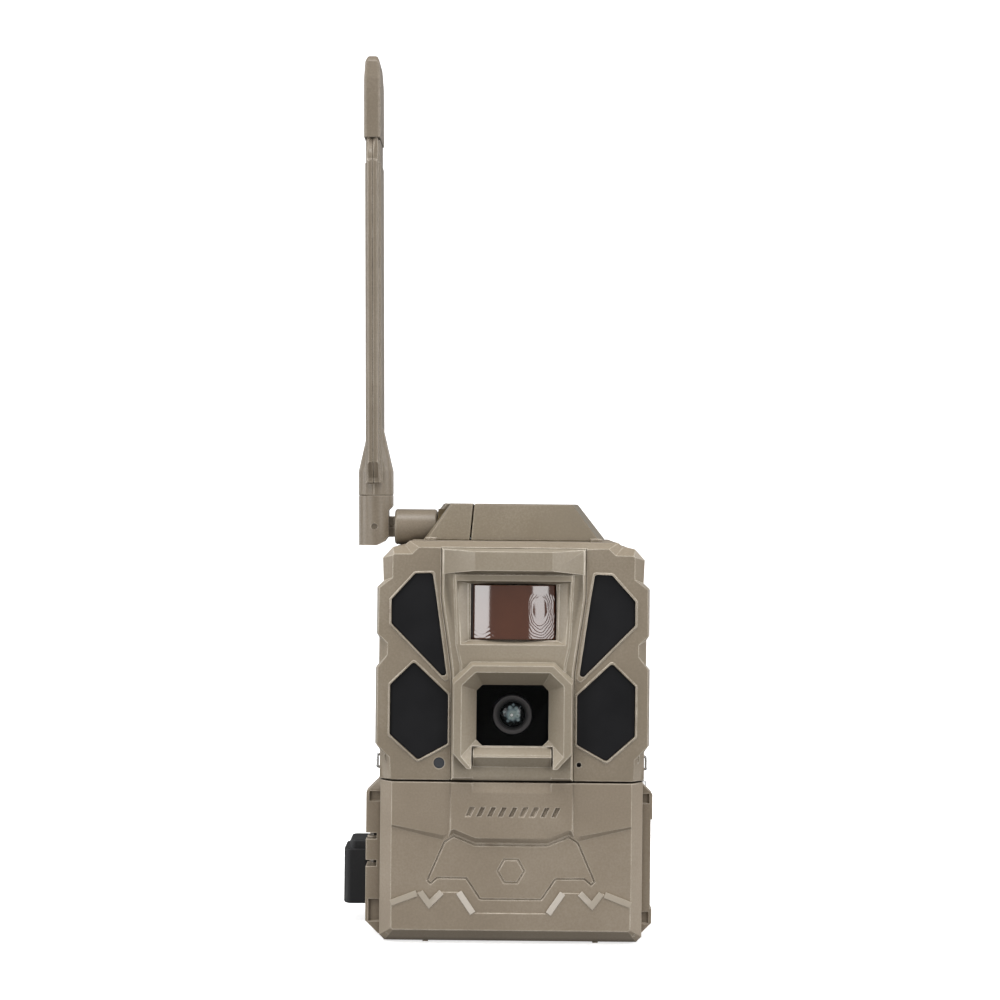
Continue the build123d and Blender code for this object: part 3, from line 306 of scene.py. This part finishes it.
def circuit(name):
    """Solder mask over copper tracks."""
    shader = Shader(name, Specular_IOR_Level=0.5)
    cells = shader.node("ShaderNodeTexVoronoi", feature="DISTANCE_TO_EDGE", distance="CHEBYCHEV")
    cells.inputs["Scale"].default_value = 420.0
    shader.link(shader.place, cells.inputs["Vector"])
    tracks = shader.spread(cells.outputs["Distance"], 1.0, 0.0, 0.02, 0.06)
    shader.feed(shader.ramp(tracks, (0.0, srgb("1B4630")), (1.0, srgb("3B7A50"))), "Base Color")
    shader.feed(shader.spread(shader.noise(0.004), 0.25, 0.4), "Roughness")
    shader.bump(tracks, 0.00003)
    return shader.material


def display(name):
    """A dark display under a glossy cover, with a faint grid of picture cells."""
    shader = Shader(name, IOR=1.5)
    shader.surface.inputs["Coat Weight"].default_value = 0.6
    shader.surface.inputs["Coat Roughness"].default_value = 0.05
    grid = shader.node("ShaderNodeTexBrick", offset=0.0)
    grid.inputs["Scale"].default_value = 900.0
    grid.inputs["Mortar Size"].default_value = 0.03
    grid.inputs["Color1"].default_value = srgb("1C2524")
    grid.inputs["Color2"].default_value = srgb("202A29")
    grid.inputs["Mortar"].default_value = srgb("101414")
    shader.link(shader.place, grid.inputs["Vector"])
    shader.feed(grid.outputs["Color"], "Base Color")
    shader.feed(shader.spread(shader.noise(0.005), 0.12, 0.22), "Roughness")
    return shader.material


def wrapped_cell(name):
    """Printed sleeve of a battery cell: a dark sleeve with a copper-coloured end."""
    shader = Shader(name, Metallic=0.6)
    along = shader.node("ShaderNodeSeparateXYZ")
    shader.link(shader.place, along.inputs["Vector"])
    share = shader.spread(along.outputs["Y"], 0.0, 1.0, -0.026, 0.026)
    wobble = shader.joined("ADD", share, shader.spread(shader.noise(0.01), -0.004, 0.004))
    shader.feed(shader.ramp(wobble, (0.0, srgb("2B2E33")), (0.70, srgb("33373C")), (0.72, srgb("B5793F"))),
                "Base Color")
    shader.feed(shader.spread(shader.noise(0.004), 0.22, 0.36), "Roughness")
    shader.bump(shader.noise(0.0008), 0.00001)
    return shader.material


FINISH = {
    "shell_light": moulded("shell_light", srgb("4A4236"), srgb("8B7F6E"), srgb("D6CCBC"), (0.3, 0.44)),
    "shell_dark": moulded("shell_dark", srgb("453D32"), srgb("918473"), srgb("D0C5B5"), (0.32, 0.46)),
    "flash_pane": pane("flash_pane", srgb("171719"), srgb("1C1C1E"), (0.3, 0.4), 0.3),
    "motion_window": pane("motion_window", srgb("522E1E"), srgb("583221"), (0.07, 0.1), 0.85, 1.65, 0.0),
    "clear_window": cover("clear_window"),
    "lens_black": satin("lens_black", srgb("030303"), srgb("060606"), (0.5, 0.65), 0.06),
    "soft_black": moulded("soft_black", srgb("161617"), srgb("1E1E20"), srgb("48484A"), (0.5, 0.65)),
    "steel": metal("steel", srgb("A9A9AA"), srgb("D6D6D6")),
    "brass": metal("brass", srgb("B08B45"), srgb("DDB76C")),
    "circuit_board": circuit("circuit_board"),
    "chip_black": moulded("chip_black", srgb("131314"), srgb("1A1A1B"), srgb("2C2C2E"), (0.3, 0.45)),
    "led_clear": clear("led_clear", (0.9, 0.9, 0.95, 1.0)),
    "cell_wrap": wrapped_cell("cell_wrap"),
    "screen": display("screen"),
    "button_rubber": moulded("button_rubber", srgb("4A4B4D"), srgb("5A5B5D"), srgb("8A8B8D"), (0.5, 0.65)),
    "coax_jacket": moulded("coax_jacket", srgb("202022"), srgb("2A2A2C"), srgb("4C4C4E"), (0.35, 0.5)),
}


# ---- shapes -----------------------------------------------------------------------------------------
SHARP = math.radians(24)          # corners above this turn are rounded
SHALLOW = math.radians(4)         # and above this one, between two faces wider than BROAD
BROAD = 1.7 * MM
FLAT_TURN = math.radians(0.5)     # faces closer in direction than this become one
MERGE = 2e-6                      # points closer than this become one
FAR = 1.0                         # wider than any face
NEAR = 1e-5                       # slack when two edges are held against each other
SLIVER = 1e-7                     # an edge this short along another one stands across it
RUNS_ON = -0.5                    # cosine between two edges that carry on from one another
ROOM_SHARE = 0.42                 # share of a face that one rounding may take
LEAST_SHARE = 0.1                 # an edge with less room than this share stays unrounded
FOLD_SHARE = 0.1                  # a face is folded when this share of its area, and FOLD_AREA, is off
FOLD_AREA = 5e-8
FOLD_REACH = 2.2                  # roundings within this many widths of a fold are made smaller
FOLD_CUT = 0.4                    # by this factor
REPAIRS = 6


def object_of(name, mesh):
    made = bpy.data.objects.new(name, mesh)
    bpy.context.scene.collection.objects.link(made)
    return made


def dressed(piece, node, material=None, also=()):
    """The piece stands for a CAD node: it moves with its body and takes its finish."""
    piece.data.materials.clear()
    piece.data.materials.append(material or FINISH[SLOT_OF[node]])
    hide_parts(node, *also)
    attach(piece, BODY_OF[node])
    return piece


def room_beside(edge, sharp):
    """How wide a rounding this edge can take before it meets the next one."""
    room = FAR
    for vert in edge.verts:
        along = (edge.other_vert(vert).co - vert.co).normalized()
        for other in vert.link_edges:
            if other is edge:
                continue
            away = other.other_vert(vert).co - vert.co
            if other in sharp and along.dot(away.normalized()) < RUNS_ON:
                continue
            room = min(room, ROOM_SHARE * along.cross(away).length)
    for face in edge.link_faces:
        room = min(room, ROOM_SHARE * face_width(face, edge))
    return room


def face_width(face, edge):
    """Distance across a face from one of its edges to the nearest other edge that faces it."""
    start, end = (vert.co for vert in edge.verts)
    along = end - start
    length = along.length
    along = along / length
    inward = face.normal.cross(along)
    middle = (start + end) / 2
    if (face.calc_center_median() - middle).dot(inward) < 0 and len(face.verts) < 5:
        inward = -inward
    nearest = FAR
    for other in face.edges:
        if other is edge or edge.verts[0] in other.verts or edge.verts[1] in other.verts:
            continue
        first, second = (vert.co - start for vert in other.verts)
        reach = sorted((first.dot(along), second.dot(along)))
        if reach[1] < 0 or reach[0] > length:
            continue
        span = reach[1] - reach[0]
        for vert in (first, second):
            if -NEAR <= vert.dot(along) <= length + NEAR:
                nearest = min(nearest, abs(vert.dot(inward)))
        if span > SLIVER:
            ordered = (first, second) if first.dot(along) <= second.dot(along) else (second, first)
            for at in (0.0, length):
                if reach[0] < at < reach[1]:
                    share = (at - reach[0]) / span
                    nearest = min(nearest, abs(ordered[0].lerp(ordered[1], share).dot(inward)))
    return nearest


def creased(edge):
    """Whether an edge is a real corner, or only a line between two facets of a curve."""
    if len(edge.link_faces) != 2:
        return False
    turn = edge.calc_face_angle(0)
    if turn > SHARP:
        return True
    return turn > SHALLOW and min(face_width(face, edge) for face in edge.link_faces) > BROAD


def chains(sharp):
    """Sharp edges in runs that carry on from one another without a corner."""
    left = dict.fromkeys(sharp)
    while left:
        run = [left.popitem()[0]]
        for edge in run:
            for vert in edge.verts:
                along = (edge.other_vert(vert).co - vert.co).normalized()
                for other in vert.link_edges:
                    away = (other.other_vert(vert).co - vert.co).normalized()
                    if other in left and along.dot(away) < RUNS_ON:
                        del left[other]
                        run.append(other)
        yield run


def torn_places(mesh):
    """Points of the faces that fold over themselves."""
    mesh.calc_loop_triangles()
    filled = [0.0] * len(mesh.polygons)
    for triangle in mesh.loop_triangles:
        filled[triangle.polygon_index] += triangle.area
    places = []
    for face in mesh.polygons:
        corners = [mesh.vertices[i].co for i in face.vertices]
        span = Vector()
        for here, after in zip(corners, corners[1:] + corners[:1]):
            span += (here - corners[0]).cross(after - corners[0])
        if abs(span.length / 2 - filled[face.index]) > FOLD_SHARE * span.length / 2 + FOLD_AREA:
            places += corners
    return places


def rounded(node, width, segments=2):
    """A copy of a CAD node with clean faces and every sharp edge rounded."""
    piece = object_of("look_" + node, NODES[node].data.copy())
    mesh = bmesh.new()
    mesh.from_mesh(piece.data)
    bmesh.ops.remove_doubles(mesh, verts=mesh.verts, dist=MERGE)
    bmesh.ops.dissolve_limit(mesh, angle_limit=FLAT_TURN, use_dissolve_boundaries=False,
                             verts=mesh.verts, edges=mesh.edges)
    weight = mesh.edges.layers.float.new("bevel_weight_edge")
    sharp = {e: None for e in mesh.edges if creased(e)}
    for face in mesh.faces:
        face.smooth = True
    runs = list(chains(sharp))
    shares = [min(width, *(room_beside(edge, sharp) for edge in run)) / width for run in runs]
    corners = [[vert.co.copy() for edge in run for vert in edge.verts] for run in runs]
    bevel = piece.modifiers.new("rounding", "BEVEL")
    bevel.limit_method = "WEIGHT"
    bevel.width = width
    bevel.segments = segments
    bevel.use_clamp_overlap = False
    normals = piece.modifiers.new("shading", "WEIGHTED_NORMAL")
    normals.keep_sharp = True
    for _ in range(REPAIRS):
        for run, share in zip(runs, shares):
            for edge in run:
                edge[weight] = share if share > LEAST_SHARE else 0.0
                edge.smooth = share > LEAST_SHARE
        mesh.to_mesh(piece.data)
        piece.data.update()
        graph = bpy.context.evaluated_depsgraph_get()
        shaped = bpy.data.meshes.new_from_object(piece.evaluated_get(graph), depsgraph=graph)
        torn = torn_places(shaped)
        if not torn:
            break
        for index, points in enumerate(corners):
            reach = FOLD_REACH * width
            if shares[index] > LEAST_SHARE and any((p - t).length < reach for p in points for t in torn):
                shares[index] *= FOLD_CUT
    mesh.free()
    piece.modifiers.clear()
    piece.data = shaped
    return piece


WALL_SLACK = 0.12 * MM            # how far from the wall a point still counts as on it
END_SLACK = 0.8 * MM


def round_shading(piece):
    """Shade the wall of a nearly upright round piece as a true cylinder, whatever is cut into it."""
    mesh = piece.data
    points = [vert.co for vert in mesh.vertices]
    radius = (max(p.y for p in points) - min(p.y for p in points)) / 2
    axis_y = (max(p.y for p in points) + min(p.y for p in points)) / 2
    ends = (min(p.z for p in points), max(p.z for p in points))
    lefts = [min(p.x for p in points if abs(p.z - end) < END_SLACK) for end in ends]
    lean = (lefts[1] - lefts[0]) / (ends[1] - ends[0])
    normals = [Vector(corner.vector) for corner in mesh.corner_normals]
    for face in mesh.polygons:
        for loop in face.loop_indices:
            point = points[mesh.loops[loop].vertex_index]
            axis_x = lefts[0] + radius + lean * (point.z - ends[0])
            out = Vector((point.x - axis_x, point.y - axis_y, 0))
            if abs(out.length - radius) < WALL_SLACK and out.normalized().dot(face.normal) > 0.95:
                normals[loop] = out.normalized()
    mesh.normals_split_custom_set(normals)


def grid_mesh(name, rows, closed=False):
    """A quad mesh through rows of points, each row a list of the same length."""
    count = len(rows[0])
    points = [point for row in rows for point in row]
    faces = []
    across = count if closed else count - 1
    for r in range(len(rows) - 1):
        for c in range(across):
            d = (c + 1) % count
            faces.append((r * count + c, r * count + d, (r + 1) * count + d, (r + 1) * count + c))
    mesh = bpy.data.meshes.new(name)
    mesh.from_pydata(points, [], faces)
    return mesh


def turned(name, centre, profile, steps=96):
    """A closed body turned about the Y axis through centre. The profile is (radius, y) points."""
    rows = []
    for radius, y in profile:
        ring = [(centre[0] + radius * math.cos(math.tau * k / steps), y,
                 centre[1] + radius * math.sin(math.tau * k / steps)) for k in range(steps)]
        rows.append(ring)
    mesh = grid_mesh(name, rows, closed=True)
    shape = bmesh.new()
    shape.from_mesh(mesh)
    bmesh.ops.remove_doubles(shape, verts=shape.verts, dist=MERGE)
    bmesh.ops.recalc_face_normals(shape, faces=shape.faces)
    for face in shape.faces:
        face.smooth = True
    for edge in shape.edges:
        edge.smooth = len(edge.link_faces) == 2 and edge.calc_face_angle(0) < SHARP
    shape.to_mesh(mesh)
    shape.free()
    return object_of(name, mesh)


# ---- motion window ----------------------------------------------------------------------------------
PANE_RADIUS = 30 * MM
PANE_X = (-12.8 * MM, 13.35 * MM)
PANE_WALL = 0.9 * MM
PANE_COLUMNS, PANE_LINES = 190, 126
PANE_LIP = 0.25 * MM              # how far the pane's border falls away
PANE_CORNER = math.radians(50)    # corners above this turn stay crisp
FLANGE_WALL = 0.8 * MM
FLANGE_BELOW, FLANGE_ABOVE = 2.95 * MM, 3.0 * MM
LENSLET = (8.4 * MM, 106.9 * MM)  # middle of the ringed lenslet, X and Z
LENSLET_CORE = 2.3 * MM           # its smooth middle
LENSLET_FLATNESS = 0.55           # its width over its height
RINGED_X = 4.4 * MM               # the rings fade in from here, over the next number
RINGED_RISE = 3 * MM
RINGED_TOP = 112 * MM             # and fade out up to here
RINGED_FALL = 1.5 * MM
RIPPLED = (-5.6 * MM, 102 * MM)   # a ripple lies below and left of this point
RIPPLE_SHARE = 0.4
RING_PITCH = 0.55 * MM
RING_DEPTH = 0.1 * MM


def rise(distance, length):
    """0 up to the start, then evenly up to 1 over the length."""
    return min(1.0, max(0.0, distance / length))


def ring_relief(x, z):
    """How deep the moulded rings and the ripple are at a point of the pane."""
    wander = 0.22 * math.sin(z / (0.5 * MM)) + 0.3 * math.sin(z / (1.7 * MM) + x / (0.6 * MM))
    away = math.hypot(x - LENSLET[0], (z - LENSLET[1]) * LENSLET_FLATNESS) + wander * 0.3 * MM
    if away < LENSLET_CORE:
        ring = (away / LENSLET_CORE) ** 2
    else:
        ring = 1 - ((away - LENSLET_CORE) / RING_PITCH) % 1.0
    ring *= rise(x - RINGED_X, RINGED_RISE) * rise(RINGED_TOP - z, RINGED_FALL)
    ripple = 0.5 + 0.5 * math.sin(math.tau * z / (1.3 * MM) + 3 * math.sin(x / (0.9 * MM)))
    ripple *= rise(RIPPLED[0] - x, MM) * rise(RIPPLED[1] - z, 3 * MM)
    return RING_DEPTH * (ring + RIPPLE_SHARE * ripple)


def capped(rows):
    """A closed body from a stack of closed rings whose two halves face each other."""
    mesh = grid_mesh("stack", rows, closed=True)
    shape = bmesh.new()
    shape.from_mesh(mesh)
    shape.verts.ensure_lookup_table()
    width = len(rows[0])
    for row in (0, len(rows) - 1):
        base = row * width
        for c in range(width // 2 - 1):
            corners = [base + c, base + c + 1, base + width - 2 - c, base + width - 1 - c]
            shape.faces.new([shape.verts[i] for i in corners])
    bmesh.ops.recalc_face_normals(shape, faces=shape.faces)
    for face in shape.faces:
        face.smooth = True
    for edge in shape.edges:
        edge.smooth = edge.calc_face_angle(0) < PANE_CORNER
    shape.to_mesh(mesh)
    shape.free()
    return mesh


def motion_window():
    """Curved pane with moulded rings, on a flat flange."""
    low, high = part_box("pir_lens")
    axis_y = low.y + PANE_RADIUS
    z0, z1 = low.z + FLANGE_BELOW, high.z - FLANGE_ABOVE
    rows = []
    for r in range(PANE_LINES + 1):
        z = z0 + (z1 - z0) * r / PANE_LINES
        upright = rise(min(z - z0, z1 - z), 0.5 * MM)
        front, back = [], []
        for c in range(PANE_COLUMNS + 1):
            x = PANE_X[0] + (PANE_X[1] - PANE_X[0]) * c / PANE_COLUMNS
            across = rise(min(x - PANE_X[0], PANE_X[1] - x), 0.4 * MM)
            surface = axis_y - math.sqrt(PANE_RADIUS ** 2 - x ** 2)
            lip = PANE_LIP * (1 - math.sqrt(max(0.0, 1 - (1 - min(upright, across)) ** 2)))
            front.append((x, surface + ring_relief(x, z) * upright * across + lip, z))
            back.append((x, surface + PANE_WALL, z))
        rows.append(front + back[::-1])
    pane = object_of("look_pir_lens", capped(rows))
    flange = bmesh.new()
    flange.from_mesh(pane.data)
    for x0, x1, za, zb in ((low.x, PANE_X[0], low.z, high.z), (PANE_X[1], high.x, low.z, high.z),
                           (PANE_X[0], PANE_X[1], low.z, z0), (PANE_X[0], PANE_X[1], z1, high.z)):
        size = Vector((x1 - x0, FLANGE_WALL, zb - za))
        centre = Vector(((x0 + x1) / 2, high.y - FLANGE_WALL / 2, (za + zb) / 2))
        place = Matrix.Translation(centre) @ Matrix.Diagonal((*size, 1))
        bmesh.ops.create_cube(flange, size=1.0, matrix=place)
    flange.to_mesh(pane.data)
    flange.free()
    return pane


dressed(motion_window(), "pir_lens")


# ---- lens -------------------------------------------------------------------------------------------
RIM_WALL = 0.9 * MM               # the barrel's outermost ring
RIM_CHAMFER = 0.18 * MM
RIM_BREAK = 0.12 * MM             # bevel on its inner edge
BACK_CHAMFER = 0.15 * MM
STEPS = 3
STEP_HEIGHT = 0.26                # of each ring step, mm
GLASS_SAG = 1.5 * MM
GLASS_GAP = 0.02 * MM             # between the glass and its bore
GLASS_RINGS = 24


def lens():
    """Barrel with stepped rings round a domed front element."""
    low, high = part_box("lens_barrel")
    outer = (high.x - low.x) / 2
    axis = ((low.x + high.x) / 2, (low.z + high.z) / 2)
    y = low.y
    glass_low, glass_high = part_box("lens_glass")
    bore = (glass_high.x - glass_low.x) / 2
    seat = max(glass_low.y + 0.3 * MM, y + 0.9 * MM)
    wall = outer - RIM_WALL
    profile = [(outer - BACK_CHAMFER, high.y), (outer, high.y - BACK_CHAMFER), (outer, y + RIM_CHAMFER),
               (outer - RIM_CHAMFER, y), (wall + RIM_BREAK, y), (wall, y + RIM_BREAK)]
    for k in range(STEPS):
        start = wall - k * (wall - bore) / STEPS
        end = wall - (k + 1) * (wall - bore) / STEPS
        top = y + (0.12 + STEP_HEIGHT * (k + 1)) * MM
        profile += [(start, top), (start - 0.3 * (start - end), top + 0.02 * MM), (end + 0.1 * MM, top)]
    profile += [(bore, seat), (bore, high.y), (outer - BACK_CHAMFER, high.y)]
    barrel = turned("look_lens_barrel", axis, profile)
    dressed(barrel, "lens_barrel", ringed("barrel_black", axis, outer, bore))

    dome = glass_low.y
    back = glass_high.y
    sag = min(GLASS_SAG, back - dome - 0.3 * MM)
    sphere = (bore ** 2 + sag ** 2) / (2 * sag)
    rim = bore - GLASS_GAP
    front = []
    for k in range(GLASS_RINGS + 1):
        radius = rim * k / GLASS_RINGS
        front.append((radius, dome + sphere - math.sqrt(sphere ** 2 - radius ** 2)))
    glass = turned("look_lens_glass", axis, front + [(rim, back), (0, back)])
    dressed(glass, "lens_glass", painted_glints("lens_glass", axis, bore))


lens()


# ---- the rest of the pieces -------------------------------------------------------------------------
# width of the rounded edges in mm, for the pieces that don't take the small one
ROUNDING = {
    "front_bezel": 0.45, "center_mask": 0.35, "lower_door": 0.35, "rear_housing": 0.45, "top_hood": 0.5,
    "antenna_mount_cap": 0.5, "tree_bracket": 0.5, "latch_arm": 0.3, "latch_grip": 0.7,
    "antenna_knuckle": 0.35, "antenna_shell_left": 0.3, "antenna_shell_right": 0.3, "antenna_tip": 0.4,
    "antenna_neck": 0.25, "antenna_nut": 0.3, "door_accents": 0.06, "battery_tray": 0.3,
    "control_panel": 0.25, "dc_plug_cover": 0.4, "battery_cells": 0.3,
}
SMALL_ROUNDING = 0.1

# painted shade: the hood and mount cap take a darker copy of the shell colour for the dimmer light on the
# hump
hood_painted_shade = moulded("hood_painted_shade", srgb("40382D"), srgb("706553"), srgb("BDB2A0"), (0.32, 0.46))
antenna_shell = moulded("antenna_shell", srgb("40382D"), srgb("7C7162"), srgb("C4B9A9"), (0.3, 0.44))
OWN_FINISH = {
    "top_hood": hood_painted_shade,
    "antenna_mount_cap": hood_painted_shade,
    "antenna_shell_left": antenna_shell,
    "antenna_shell_right": antenna_shell,
    "antenna_tip": antenna_shell,
    "antenna_nut": antenna_shell,
    "antenna_knuckle": antenna_shell,
    "antenna_neck": antenna_shell,
    "center_mask": moulded("mask_shell", srgb("4A4236"), srgb("958A79"), srgb("D8CFC0"), (0.3, 0.44)),
    "battery_tray": moulded("tray_black", srgb("0E0E10"), srgb("202023"), srgb("46464A"), (0.4, 0.55)),
    "control_panel": moulded("panel_black", srgb("0E0E10"), srgb("252528"), srgb("4C4C50"), (0.4, 0.55)),
    "sma_connector": metal("dull_brass", srgb("6A5C46"), srgb("847459"), (0.35, 0.5)),
    "door_accents": strip_paint("accent_strips"),
    "light_and_sound_sensors": sensor_face("sensor_faces"),
    "antenna_pin": antenna_shell,
    "latch_pin": metal("dark_pin", srgb("57534E"), srgb("6C6862"), (0.4, 0.5)),
}

for node in NODES:
    if node not in ("pir_lens", "lens_barrel", "lens_glass"):
        piece = rounded(node, ROUNDING.get(node, SMALL_ROUNDING) * MM)
        if node == "antenna_knuckle":
            round_shading(piece)
        dressed(piece, node, OWN_FINISH.get(node))


# ---- studio -----------------------------------------------------------------------------------------
scene = bpy.context.scene
scene.view_settings.view_transform = "Standard"
MIDDLE = Vector((0, 0, 0.1))
# name, azimuth, height, distance, size and radiance; azimuth 0 is in front, 90 on the viewer's right
LIGHTS = [
    ("left_softbox", -40, 0.25, 1.4, (0.52, 0.95), 4.5),
    ("right_softbox", 34, 0.25, 1.4, (0.5, 0.95), 4.0),
    ("left_edge_light", -84, 0.3, 1.2, (0.5, 1.5), 4.2),
    ("right_edge_light", 80, 0.3, 1.2, (0.5, 1.5), 4.2),
    ("rear_left_softbox", -140, 0.5, 1.4, (0.5, 1.2), 1.7),
    ("rear_right_softbox", 140, 0.5, 1.4, (0.5, 1.2), 1.7),
    ("top_softbox", -6, 1.35, 0.5, (1.3, 0.7), 5.6),
]


def softbox(name, azimuth, height, distance, size, radiance):
    """A flat light that faces the middle of the object."""
    turn = math.radians(azimuth)
    place = Vector((math.sin(turn), -math.cos(turn), 0)) * distance
    place.z = height
    data = bpy.data.lights.new(name, "AREA")
    data.shape = "RECTANGLE"
    data.size, data.size_y = size
    data.energy = radiance * math.pi * size[0] * size[1]
    lamp = bpy.data.objects.new(name, data)
    scene.collection.objects.link(lamp)
    lamp.location = place
    lamp.rotation_euler = (MIDDLE - place).to_track_quat("-Z", "Y").to_euler()


for light in LIGHTS:
    softbox(*light)

world = bpy.data.worlds.new("studio")
scene.world = world
world.use_nodes = True
world.node_tree.nodes["Background"].inputs["Color"].default_value = (1, 1, 1, 1)
world.node_tree.nodes["Background"].inputs["Strength"].default_value = 0.24


def sweep():
    """Pale floor that curves up into a backdrop."""
    near, depth, height, width, bend, steps = -2.0, 1.6, 2.6, 3.5, 0.6, 12
    line = [(near, 0.0)]
    for k in range(steps + 1):
        turn = math.pi / 2 * k / steps
        line.append((depth - bend + bend * math.sin(turn), bend - bend * math.cos(turn)))
    line.append((depth, height))
    rows = [[(-width, y, z), (width, y, z)] for y, z in line]
    mesh = grid_mesh("backdrop", rows)
    for face in mesh.polygons:
        face.use_smooth = True
    shader = Shader("backdrop", Roughness=0.9, Specular_IOR_Level=0.1)
    shader.surface.inputs["Emission Color"].default_value = (1, 1, 1, 1)
    shader.surface.inputs["Emission Strength"].default_value = 0.62
    shader.feed(shader.ramp(shader.noise(0.4), (0.3, srgb("FAFAFA")), (0.7, srgb("FDFDFD"))), "Base Color")
    mesh.materials.append(shader.material)
    floor = object_of("backdrop", mesh)
    floor.visible_diffuse = False
    floor.visible_glossy = False


sweep()

CAMERA_PLACE = (-4.64 * MM, -686 * MM, 141.6 * MM)
CAMERA_ROLL = math.radians(0.57)
camera = bpy.data.objects.new("camera", bpy.data.cameras.new("camera"))
scene.collection.objects.link(camera)
camera.data.lens = 73.6
camera.data.clip_start = 0.01
camera.matrix_world = (Matrix.Translation(CAMERA_PLACE) @ Matrix.Rotation(math.radians(90), 4, "X")
                       @ Matrix.Rotation(CAMERA_ROLL, 4, "Z"))
scene.camera = camera
